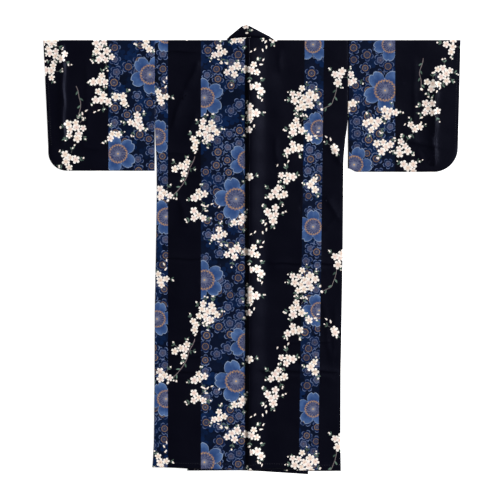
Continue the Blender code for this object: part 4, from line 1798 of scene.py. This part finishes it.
@dataclass
class BodyLength(Panel):
    """Half of the body: one length from the back hem over the shoulder to the front hem."""

    neck_blend: float = 0.012
    seam_dip: float = 0.0006
    seam_reach: float = 0.0045
    hem_width: float = 0.018
    hem_rise: float = 0.0006
    hem_fall: float = 0.0008
    outline_step: float = 0.03
    line_step: float = 0.012
    seam_lines_out: tuple = (0.0016, 0.0046, 0.0100)
    hem_lines_up: tuple = (0.0032, 0.0178, 0.0210)
    held: ClassVar[str] = "folded"

    def __post_init__(self) -> None:
        """Names the panel and picks its print."""
        self.name = f"body_{self.side.word}"
        self.repeat = BODY_LEFT_PRINT if self.side is Side.LEFT else BODY_RIGHT_PRINT

    def rests_on(self) -> list[str]:
        """The panels under the back."""
        lower = ["overlap_left", "overlap_right"]
        return lower if self.side is Side.LEFT else lower + ["body_left"]

    def chart(self) -> Chart:
        """Back, shoulder and front in one length, with the neck cut out.

        Returns:
            The chart, drawn for the right side and then turned over for the left one.
        """
        cut, side = self.drape.cut, self.side
        outs = spaced(SEAM / 2, float(cut.side_out(side, BODY)), 0.02)
        hem = [(out, -float(cut.back_hem(side, out))) for out in outs]
        downs = spaced(BODY - self.outline_step, 0.02, self.outline_step)
        along = [*-downs, 0.0, *downs[::-1], cut.of(side, cut.front_hem)]
        outer = [(float(cut.side_out(side, abs(place))), place) for place in along]
        up = spaced(along[-1] - self.outline_step, cut.overlap_start, 0.05)
        inner = [(SEAM / 2, place) for place in (along[-1], *up)]
        neck_half = cut.of(side, cut.neck_half)
        slope = [(neck_half * (1 - part), cut.overlap_start * part) for part in spaced(0.9, 0.1, 0.1)]
        neck = [(out, float(cut.neckline(side, out))) for out in (*spaced(neck_half, 0.006, 0.006), SEAM / 2)]
        outline = anticlockwise(np.array(hem + outer + inner + slope + neck) * (side.value, 1))
        lines = self.seam_lines() + self.crease_lines(outline)
        return Chart(outline, self.repeat, self.inner_points(outline), lines)

    def seam_lines(self) -> list[np.ndarray]:
        """Lines along the shoulder fold, the centre ridge, the side seam and the back hem.

        Returns:
            One array of points for each line.
        """
        cut, side = self.drape.cut, self.side
        found = self.fold_lines(0.002, float(cut.side_out(side, 0)) - 0.001)
        down = spaced(-1.375, -0.006, self.line_step)
        outs = spaced(0.010, 0.284, self.line_step)
        drawn = [(np.full(len(down), out), down) for out in self.seam_lines_out]
        drawn += [(cut.side_out(side, -down) - out, down) for out in self.seam_lines_out[:2]]
        drawn += [(outs, lift - cut.back_hem(side, outs)) for lift in self.hem_lines_up]
        return found + [np.column_stack([side.value * out, along]) for out, along in drawn]

    def top(self, x: np.ndarray, y: np.ndarray) -> np.ndarray:
        """Height of the back, which dips into the seams and is thicker along the hem.

        Args:
            x: Places across.
            y: Places along.

        Returns:
            The height at each point.
        """
        out = np.abs(x)
        to_side = self.drape.cut.side_out(self.side, -y) - out
        to_hem = self.drape.cut.back_hem(self.side, out) + y
        centre = self.seam_dip * ease(1 - out / self.seam_reach)
        side = self.seam_dip * ease(1 - to_side / self.seam_reach)
        hem = self.hem_rise * (1 - ease((to_hem - self.hem_width) / 0.003))
        edge = self.hem_fall * ease(1 - to_hem / 0.004)
        return self.drape.top(x, y) - centre - side + hem - edge

    def under(self, x: np.ndarray, y: np.ndarray) -> np.ndarray:
        """Height of the front on the floor, or on the left front."""
        if self.side is Side.LEFT:
            return np.full(np.shape(x), CLOTH / 2)
        return self.drape.bed(x, y, 1) + LIE

    def place(self, points: np.ndarray) -> np.ndarray:
        """Lays the chart in place, folded over at the shoulder but not at the neck.

        Args:
            points: Chart points.

        Returns:
            Places in the robe's frame.
        """
        x, along = points.T
        folded = over_fold(x, along, self.top, self.under)
        flat = np.column_stack([x, along, self.top(x, along)])
        cut = self.drape.cut
        half = cut.of(self.side, cut.neck_half)
        at_neck = along <= cut.neckline(self.side, np.abs(x)) + 1e-6
        share = ease((np.abs(x) - half + self.neck_blend) / self.neck_blend)
        share = np.where(at_neck & (np.abs(x) < half), share, 1.0)[:, None]
        return flat * (1 - share) + folded * share


@dataclass
class Overlap(Panel):
    """The narrow panel sewn to the front edge of one body length."""

    def __post_init__(self) -> None:
        """Names the panel."""
        self.name = f"overlap_{self.side.word}"

    def rests_on(self) -> list[str]:
        """The left front, for the right overlap."""
        return [] if self.side is Side.LEFT else ["body_left", "overlap_left"]

    def chart(self) -> Chart:
        """Pointed at the top, where the collar crosses it, and straight below.

        Returns:
            The chart.
        """
        cut, sign = self.drape.cut, -self.side.value
        reach = cut.of(self.side, cut.front_reach)
        start = cut.overlap_start + cut.overlap_tip
        tip = float(sign * cut.collar_seam(self.side, start)) - SEAM
        inner_hem, outer_hem = cut.of(self.side, cut.overlap_hem)
        corners = [
            (sign * SEAM / 2, start),
            (sign * tip, start),
            (sign * (reach - cut.collar_width - SEAM), cut.collar_end - cut.collar_slant),
            (sign * reach, cut.collar_end),
            (sign * reach, outer_hem),
            (sign * SEAM / 2, inner_hem),
        ]
        outline = anticlockwise(np.array(corners))
        return Chart(outline, self.repeat, self.inner_points(outline), [])

    def place(self, points: np.ndarray) -> np.ndarray:
        """Lays the chart on the floor or on the left front.

        Args:
            points: Chart points.

        Returns:
            Places in the robe's frame.
        """
        x, along = points.T
        height = np.full(len(x), CLOTH / 2)
        if self.side is Side.RIGHT:
            height = self.drape.bed(x, -along, 1) + LIE
        return np.column_stack([x, -along, height])


@dataclass
class Sleeve(Panel):
    """A sleeve: one length folded along the top, closed at the bottom and round its corner."""

    armhole: float = 0.262
    opening: float = 0.338
    depth: tuple = (0.4228, 0.4265)
    corner: tuple = (0.060, 0.078)
    reach_top: tuple = (0.6663, 0.6809)
    reach_low: tuple = (0.6505, 0.6722)
    inner_rise: tuple = (0.0, 0.012)
    rise_width: float = 0.030
    gap: float = 0.0017
    closing: float = 0.007
    closing_dip: float = 0.0007
    closing_rise: float = 0.0004
    seam_dip: float = 0.0005
    seam_reach: float = 0.0045
    middle: tuple = (0.48, -0.2)
    outline_step: float = 0.03
    edge_shares: tuple = (0.008, 0.022)
    held: ClassVar[str] = "folded"

    def __post_init__(self) -> None:
        """Names the panel and picks its print."""
        self.name = f"sleeve_{self.side.word}"
        self.repeat = SLEEVE_LEFT_PRINT if self.side is Side.LEFT else SLEEVE_RIGHT_PRINT

    def back_corners(self) -> list[tuple]:
        """Outline of the sleeve's back from the inner top down, round and up to the cuff's top.

        Returns:
            The corners, with x as the distance from the centre seam.
        """
        cut = self.drape.cut
        depth, corner = cut.of(self.side, self.depth), cut.of(self.side, self.corner)
        low, top = cut.of(self.side, self.reach_low), cut.of(self.side, self.reach_top)
        rise = cut.of(self.side, self.inner_rise)
        inner = self.inner() + SEAM
        points = [(inner, -down) for down in spaced(0.02, depth - rise - 0.01, self.outline_step)]
        for out in spaced(0, self.rise_width, 0.006):
            lift = rise * (1 - float(ease(out / self.rise_width)))
            points.append((inner + out, lift - depth))
        points += [(out, -depth) for out in spaced(inner + 0.05, low - corner, self.outline_step)]
        for angle in np.linspace(0, pi / 2, 12)[1:]:
            points.append((low - corner + corner * sin(angle), corner - depth - corner * cos(angle)))
        for down in spaced(depth - corner - 0.015, 0.02, self.outline_step):
            points.append((float(np.interp(down, (0, self.opening), (top, low))), -down))
        return points

    def inner(self) -> float:
        """Distance of the armhole seam from the centre seam."""
        return float(self.drape.cut.side_out(self.side, self.armhole))

    def chart(self) -> Chart:
        """Both sides of the sleeve in one length.

        Returns:
            The chart, drawn for the right side and then turned over for the left one.
        """
        back = self.back_corners()
        front = [(out, -along) for out, along in back[::-1]]
        reach = self.drape.cut.of(self.side, self.reach_top)
        corners = [(self.inner() + SEAM, 0.0)] + back + [(reach, 0.0)] + front
        outline = anticlockwise(np.array(corners) * (self.side.value, 1))
        lines = self.edge_lines() + self.crease_lines(outline)
        return Chart(outline, self.repeat, self.inner_points(outline), lines)

    def edge_lines(self) -> list[np.ndarray]:
        """Lines along the top fold and just inside the closed edges.

        Returns:
            One array of points for each line.
        """
        reach = self.drape.cut.of(self.side, self.reach_top)
        found = self.fold_lines(self.inner() + 0.002, reach - 0.002)
        back = np.array(self.back_corners())
        for share in self.edge_shares:
            ring = back + (np.array(self.middle) - back) * share
            found += [ring * (self.side.value, 1), ring * (self.side.value, -1)]
        return found

    def to_edge(self, x: np.ndarray, y: np.ndarray) -> np.ndarray:
        """Distance from the closed edge of the sleeve's lower half.

        Args:
            x: Places across.
            y: Places along.

        Returns:
            One distance for each point.
        """
        cut = self.drape.cut
        depth, corner = cut.of(self.side, self.depth), cut.of(self.side, self.corner)
        low = cut.of(self.side, self.reach_low)
        down, out = depth + y, low - np.abs(x)
        round_part = corner - np.hypot(corner - out, corner - down)
        straight = np.where(-y > self.opening, np.minimum(down, out), down)
        return np.where((out < corner) & (down < corner), round_part, straight)

    def top(self, x: np.ndarray, y: np.ndarray) -> np.ndarray:
        """Height of the sleeve's back.

        Args:
            x: Places across.
            y: Places along.

        Returns:
            The height at each point.
        """
        near = ease(1 - self.to_edge(x, y) / self.closing)
        seam = self.seam_dip * ease(1 - (np.abs(x) - self.inner()) / self.seam_reach)
        relief = self.drape.relief(x, y) * (1 - 0.8 * near)
        return LIE + self.gap + relief - self.closing_dip * near - seam

    def under(self, x: np.ndarray, y: np.ndarray) -> np.ndarray:
        """Height of the sleeve's front, on the floor."""
        near = ease(1 - self.to_edge(x, y) / self.closing)
        return CLOTH / 2 + self.closing_rise * near

    def place(self, points: np.ndarray) -> np.ndarray:
        """Chart points as places in the robe, folded over along the top."""
        x, along = points.T
        return over_fold(x, along, self.top, self.under)


@dataclass
class Collar(Panel):
    """The doubled band up the left front, round the neck and down the right front."""

    turn: float = 0.012
    bulge: tuple = (0.0010, 0.0034)
    half_gap: float = 0.0007
    across: int = 7
    row_step: float = 0.012
    turn_steps: int = 8
    slant_start: float = 0.06
    slant_reach: float = 0.30
    neck_rows: tuple = (-0.060, 0.054, 21)
    edge_steps: tuple = (0.0004, 0.0011, 0.0022)
    edge_share: float = 0.93
    flat_columns: int = 6
    held: ClassVar[str] = "folded"

    def __post_init__(self) -> None:
        """Names the panel and picks its print."""
        self.name = "collar"
        self.repeat = COLLAR_PRINT

    def rests_on(self) -> list[str]:
        """The panels under it."""
        return ["body_left", "overlap_left"]

    def row(self, seam: np.ndarray, free: np.ndarray, fronts_below: int) -> np.ndarray:
        """Points across the band.

        Args:
            seam: Plan place of its seam.
            free: Plan place of its free edge.
            fronts_below: How many fronts lie under it, 2 for the back.

        Returns:
            The points, from the seam to the free edge.
        """
        shares = np.linspace(0, 1, self.across)[:, None]
        plan = np.array(seam) + (np.array(free) - np.array(seam)) * shares
        x, y = plan.T
        height = self.drape.bed(x, y, fronts_below) + DOUBLED_LIE
        if fronts_below == 2:
            height = height + self.drape.relief(x, y)
        return np.column_stack([plan, height])

    def fold(self, side: Side) -> list[np.ndarray]:
        """Rows round the neck's side.

        Args:
            side: The wearer's left or right side of the neck.

        Returns:
            The rows, from behind the neck to the front.
        """
        cut = self.drape.cut
        out, up = self.bulge
        seam = np.array((side.value * (cut.of(side, cut.neck_half) + out), up))
        free = np.array(cut.of(side, cut.collar_top))
        run = free - seam
        outward = np.array((side.value * abs(run[1]), abs(run[0]))) / hypot(*run)
        upper = self.row(seam, free, 2)
        lower = self.row(seam, free, 0 if side is Side.LEFT else 1)
        radius = (upper[:, 2] - lower[:, 2]) / 2
        middle = (upper[:, 2] + lower[:, 2]) / 2
        rows = []
        for turn in np.linspace(0, pi, self.turn_steps + 1):
            row = upper.copy()
            row[:, :2] += outward * (radius * (sin(turn) - 1) - DOUBLED_LIE)[:, None]
            row[:, 2] = middle + radius * cos(turn)
            rows.append(row)
        return rows

    def leg(self, side: Side, fold: np.ndarray) -> list[np.ndarray]:
        """Rows up a front.

        Args:
            side: The wearer's left or right front.
            fold: The last row of the fold beside the neck.

        Returns:
            The rows, from the collar's end to the fold.
        """
        cut = self.drape.cut
        away = np.array((-side.value * SEAM, 0.0))
        pairs = []
        for below in spaced(cut.collar_end, self.turn, self.row_step):
            lift = cut.collar_slant if below == cut.collar_end else 0.0
            seam = np.array((float(cut.collar_seam(side, below - lift)), lift - below))
            pairs.append((seam + away, np.array(cut.free_edge(side, below))))
        last_seam, last_free = pairs[-1]
        for share in (0.25, 0.5, 0.75):
            seam = last_seam + (fold[0, :2] - last_seam) * share
            pairs.append((seam, last_free + (fold[-1, :2] - last_free) * share))
        return [self.row(*pair, 0 if side is Side.LEFT else 1) for pair in pairs]

    def behind(self, left: np.ndarray, right: np.ndarray) -> list[np.ndarray]:
        """Rows behind the neck, between its two folds.

        Args:
            left: First row of the left fold.
            right: First row of the right fold.

        Returns:
            The rows, from left to right.
        """
        cut = self.drape.cut
        outs = np.linspace(*self.neck_rows)
        peak = np.array(cut.collar_peak)
        rows = []
        for number, x in enumerate(outs, 1):
            side = Side.LEFT if x < 0 else Side.RIGHT
            seam = np.array((x, SEAM + float(cut.neckline(side, abs(x)))))
            place = 2 * number / (len(outs) + 1)
            if place < 1:
                free = left[-1, :2] + (peak - left[-1, :2]) * place
            else:
                free = peak + (right[-1, :2] - peak) * (place - 1)
            rows.append(self.row(seam, free, 2))
        return rows

    def stations(self) -> np.ndarray:
        """All rows along the band, as places in the robe.

        Returns:
            One row of points for each place along, from the left end to the right one.
        """
        left, right = self.fold(Side.LEFT), self.fold(Side.RIGHT)
        rows = self.leg(Side.LEFT, left[-1]) + left[::-1] + self.behind(left[0], right[0])
        rows += right + self.leg(Side.RIGHT, right[-1])[::-1]
        return np.array(rows)

    def run(self) -> np.ndarray:
        """Distance along the band of every row, for each place across it.

        The band is straight, so behind the neck its seam side runs further than its free edge.
        The difference eases out down both fronts.

        Returns:
            One row for each station, one column for each place across.
        """
        rows = self.stations()
        steps = np.linalg.norm(np.diff(rows, axis=0), axis=2)
        own = np.vstack([np.zeros(self.across), np.cumsum(steps, axis=0)])
        middle = own[:, self.across // 2]
        peak = int(np.argmax(rows[:, -1, 1]))
        near = 1 - ease((np.abs(middle - middle[peak]) - self.slant_start) / self.slant_reach)
        return middle[:, None] + near[:, None] * (own - own[peak] - (middle - middle[peak])[:, None])

    def chart(self) -> Chart:
        """The band opened out: twice its width, as long as its middle.

        Returns:
            The chart.
        """
        length = float(self.run()[-1, 0])
        wide = 2 * self.drape.cut.collar_width
        sides = spaced(0, length, 0.03)
        outline = [(0.0, along) for along in sides[::-1]] + [(wide, along) for along in sides]
        return Chart(np.array(outline), self.repeat, np.zeros((0, 2)), self.grid_lines())

    def grid_lines(self) -> list[np.ndarray]:
        """Lines across the band at every row, and along it where the free edge folds.

        Returns:
            One array of points for each line.
        """
        width = self.drape.cut.collar_width
        half = np.linspace(width, width * (1 - self.edge_share), self.flat_columns)[1:]
        half = np.concatenate([half, self.edge_steps[::-1]])
        away = np.concatenate([-half, half[::-1]])
        shares = (width - np.abs(away)) / width * (self.across - 1)
        along = np.array([np.interp(shares, range(self.across), row) for row in self.run()[1:-1]])
        at_edge = [number for number, far in enumerate(away) if abs(far) <= max(self.edge_steps)]
        edges = [np.column_stack([np.full(len(along), width + away[n]), along[:, n]]) for n in at_edge]
        return [np.column_stack([width + away, row]) for row in along] + edges

    def place(self, points: np.ndarray) -> np.ndarray:
        """Lays the chart in two layers that fold over at the free edge.

        Args:
            points: Chart points.

        Returns:
            Places in the robe's frame.
        """
        across, along = points.T
        rows, run = self.stations(), self.run()
        width, gap = self.drape.cut.collar_width, self.half_gap
        turn = np.clip((across - width) / gap, -pi / 2, pi / 2)
        beyond = np.clip(np.abs(across - width) - gap * pi / 2, 0, None)
        share = (width + gap * (np.cos(turn) - 1) - beyond) / width * (self.across - 1)
        column = np.clip(np.floor(share).astype(int), 0, self.across - 2)
        part = (share - column)[:, None]
        reached = run[:, column] * (1 - part[:, 0]) + run[:, column + 1] * part[:, 0]
        number = np.clip((reached <= along).sum(axis=0) - 1, 0, len(run) - 2)
        here, after = (np.take_along_axis(reached, n[None], axis=0)[0] for n in (number, number + 1))
        step = ((along - here) / (after - here))[:, None]
        tangent = np.gradient(rows, axis=0)
        normal = np.cross(tangent, np.gradient(rows, axis=1))
        normal /= np.linalg.norm(normal, axis=2)[:, :, None]

        def between(values: np.ndarray) -> np.ndarray:
            """Values between rows and columns.

            Args:
                values: One value for each row and column.

            Returns:
                One value for each point.
            """
            low = values[number, column] * (1 - part) + values[number, column + 1] * part
            high = values[number + 1, column] * (1 - part) + values[number + 1, column + 1] * part
            return low * (1 - step) + high * step

        outward = -gap * np.sin(turn)
        return between(rows) + between(normal) * outward[:, None]


@dataclass(frozen=True)
class Stitching:
    """Small running stitches along the hems, set one by one along their lines."""

    drape: Drape
    pitch: float = 0.0075
    length: float = 0.0030
    thickness: float = 0.00045
    unevenness: float = 0.15
    inset: tuple = (0.0175, 0.010)
    seed: int = 5
    thread: str = "#15161d"
    thread_pale: str = "#2a2c38"

    def material(self) -> bpy.types.Material:
        """Dark cotton thread with a twist in it.

        Returns:
            The material.
        """
        material, nodes = new_material("dark_thread")
        twist = nodes.noise(nodes.add("ShaderNodeTexCoord").outputs["Object"], 3500.0, 2.0)
        colour = nodes.mix(twist, ink(self.thread), ink(self.thread_pale))
        nodes.surface(base_color=colour, roughness=0.7)
        return material

    def tree(self) -> tuple[bpy.types.NodeTree, dict[str, str]]:
        """Geometry nodes that set a stitch at every step along the given lines.

        Returns:
            The tree, and the identifier of each input by its name.
        """
        tree = bpy.data.node_groups.new("Running stitches", "GeometryNodeTree")
        sockets = {}
        for label, kind in (
            ("Lines", "NodeSocketGeometry"),
            ("Pitch", "NodeSocketFloat"),
            ("Stitch Length", "NodeSocketFloat"),
            ("Thickness", "NodeSocketFloat"),
            ("Seed", "NodeSocketInt"),
            ("Thread", "NodeSocketMaterial"),
        ):
            socket = tree.interface.new_socket(name=label, in_out="INPUT", socket_type=kind)
            sockets[label] = socket.identifier
        tree.interface.new_socket(name="Stitches", in_out="OUTPUT", socket_type="NodeSocketGeometry")
        nodes = Nodes(tree)
        given = nodes.add("NodeGroupInput").outputs
        curve = nodes.add("GeometryNodeMeshToCurve")
        nodes.put(curve.inputs["Mesh"], given["Lines"])
        steps = nodes.add("GeometryNodeCurveToPoints", mode="LENGTH")
        nodes.put(steps.inputs["Curve"], curve.outputs[0])
        nodes.put(steps.inputs["Length"], given["Pitch"])
        rod = nodes.add("GeometryNodeMeshCylinder", fill_type="NGON")
        rod.inputs["Vertices"].default_value = 6
        nodes.put(rod.inputs["Radius"], given["Thickness"])
        nodes.put(rod.inputs["Depth"], given["Stitch Length"])
        size = nodes.add("FunctionNodeRandomValue", data_type="FLOAT")
        nodes.put(size.inputs[2], 1 - self.unevenness)
        nodes.put(size.inputs[3], 1 + self.unevenness)
        nodes.put(size.inputs["Seed"], given["Seed"])
        placed = nodes.add("GeometryNodeInstanceOnPoints")
        nodes.put(placed.inputs["Points"], steps.outputs["Points"])
        nodes.put(placed.inputs["Instance"], rod.outputs["Mesh"])
        nodes.put(placed.inputs["Rotation"], steps.outputs["Rotation"])
        nodes.put(placed.inputs["Scale"], size.outputs[1])
        real = nodes.add("GeometryNodeRealizeInstances")
        nodes.put(real.inputs[0], placed.outputs[0])
        finish = nodes.add("GeometryNodeSetMaterial")
        nodes.put(finish.inputs["Geometry"], real.outputs[0])
        nodes.put(finish.inputs["Material"], given["Thread"])
        nodes.put(nodes.add("NodeGroupOutput").inputs["Stitches"], finish.outputs[0])
        return tree, sockets

    def lines(self, panels: list[Panel]) -> list[np.ndarray]:
        """The hem lines that are stitched.

        Args:
            panels: All panels of the robe.

        Returns:
            One line of places in the robe for each back hem and each cuff.
        """
        cut, found = self.drape.cut, []
        for panel in panels:
            if isinstance(panel, BodyLength):
                x = panel.side.value * spaced(0.004, 0.288, 0.004)
                y = self.inset[0] - cut.back_hem(panel.side, np.abs(x))
            elif isinstance(panel, Sleeve):
                y = -spaced(0.006, panel.opening, 0.004)
                ends = (cut.of(panel.side, panel.reach_top), cut.of(panel.side, panel.reach_low))
                x = panel.side.value * (np.interp(-y, (0, panel.opening), ends) - self.inset[1])
            else:
                continue
            found.append(np.column_stack([x, y, panel.top(x, y) + CLOTH / 2]))
        return found

    def build(self, panels: list[Panel], centre: np.ndarray) -> bpy.types.Object:
        """Sets the stitches as one plain mesh.

        Args:
            panels: The panels whose hems are stitched.
            centre: Where the robe's own frame lies in the model.

        Returns:
            The finished piece.
        """
        points, edges = [], []
        for line in self.lines(panels):
            start = len(points)
            points += (line + centre).tolist()
            edges += [(start + n, start + n + 1) for n in range(len(line) - 1)]
        mesh = bpy.data.meshes.new("hem_lines")
        mesh.from_pydata(points, edges, [])
        carrier = linked("hem_lines", mesh)
        modifier = carrier.modifiers.new("Stitches", "NODES")
        modifier.node_group, sockets = self.tree()
        values = {
            "Pitch": self.pitch,
            "Stitch Length": self.length,
            "Thickness": self.thickness,
            "Seed": self.seed,
            "Thread": self.material(),
        }
        for label, value in values.items():
            modifier[sockets[label]] = value
        evaluated = carrier.evaluated_get(bpy.context.evaluated_depsgraph_get())
        stitches = bpy.data.meshes.new_from_object(evaluated)
        stitches.name = "hem_stitches"
        piece = linked("hem_stitches", stitches)
        bpy.data.objects.remove(carrier)
        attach(piece, "root")
        log.info("%s: %d faces", piece.name, len(stitches.polygons))
        return piece


@dataclass(frozen=True)
class Studio:
    """The pale floor, the soft lights and the camera straight above the robe."""

    view: tuple = (-0.0063, -0.0017)
    view_width: float = 1.615
    lens: float = 85.0
    sensor: float = 36.0
    floor_size: float = 9.0
    floor_drop: float = 0.0004
    floor_glow: float = 0.85
    sky: float = 0.17
    lamp_from: tuple = (0.78, 0.42, 0.56)
    lamp_angle: float = 0.30
    lamp_strength: float = 4.9

    def build(self) -> None:
        """Builds the floor, the lights and the camera."""
        scene = bpy.context.scene
        scene.view_settings.view_transform = "Standard"
        self.floor()
        world = bpy.data.worlds.new("studio")
        world.use_nodes = True
        sky = world.node_tree.nodes["Background"].inputs
        sky["Color"].default_value = (1, 1, 1, 1)
        sky["Strength"].default_value = self.sky
        scene.world = world
        self.light()
        camera = bpy.data.cameras.new("camera")
        camera.lens = self.lens
        camera.sensor_width = self.sensor
        holder = linked("camera", camera)
        holder.location = (*self.view, self.view_width * self.lens / self.sensor)
        scene.camera = holder

    def floor(self) -> None:
        """A plain pale floor just under the robe."""
        half = self.floor_size / 2
        corners = [(-half, -half), (half, -half), (half, half), (-half, half)]
        mesh = bpy.data.meshes.new("floor")
        mesh.from_pydata([(x, y, -self.floor_drop) for x, y in corners], [], [(0, 1, 2, 3)])
        material, nodes = new_material("pale_floor")
        nodes.surface(
            base_color=(0.98, 0.98, 0.98, 1),
            roughness=0.95,
            emission_color=(1, 1, 1, 1),
            emission_strength=self.floor_glow,
        )
        mesh.materials.append(material)
        linked("floor", mesh)

    def light(self) -> None:
        """A broad soft lamp, low to the right of the robe."""
        lamp = bpy.data.lights.new("lamp", "SUN")
        lamp.angle = self.lamp_angle
        lamp.energy = self.lamp_strength
        holder = linked("lamp", lamp)
        holder.rotation_euler = (-Vector(self.lamp_from)).to_track_quat("-Z", "Y").to_euler()


def robe_centre() -> np.ndarray:
    """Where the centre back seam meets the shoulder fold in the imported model.

    Returns:
        The place as x, y and z.
    """
    seam_x = (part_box("body_left")[1][0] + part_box("body_right")[0][0]) / 2
    shoulder_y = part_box("sleeve_right")[1][1]
    return np.array((seam_x, shoulder_y, 0.0))


def main() -> None:
    """Builds the robe piece by piece, then the studio."""
    logging.basicConfig(level=logging.INFO, format="%(message)s")
    drape = Drape()
    cotton = PrintedCotton().material()
    centre = robe_centre()
    panels = [kind(side, drape, cotton) for kind in (BodyLength, Overlap, Sleeve) for side in Side]
    panels.append(Collar(Side.LEFT, drape, cotton))
    for panel in panels:
        panel.build(centre)
    Stitching(drape).build(panels, centre)
    Studio().build()


if __name__ == "__main__":
    main()
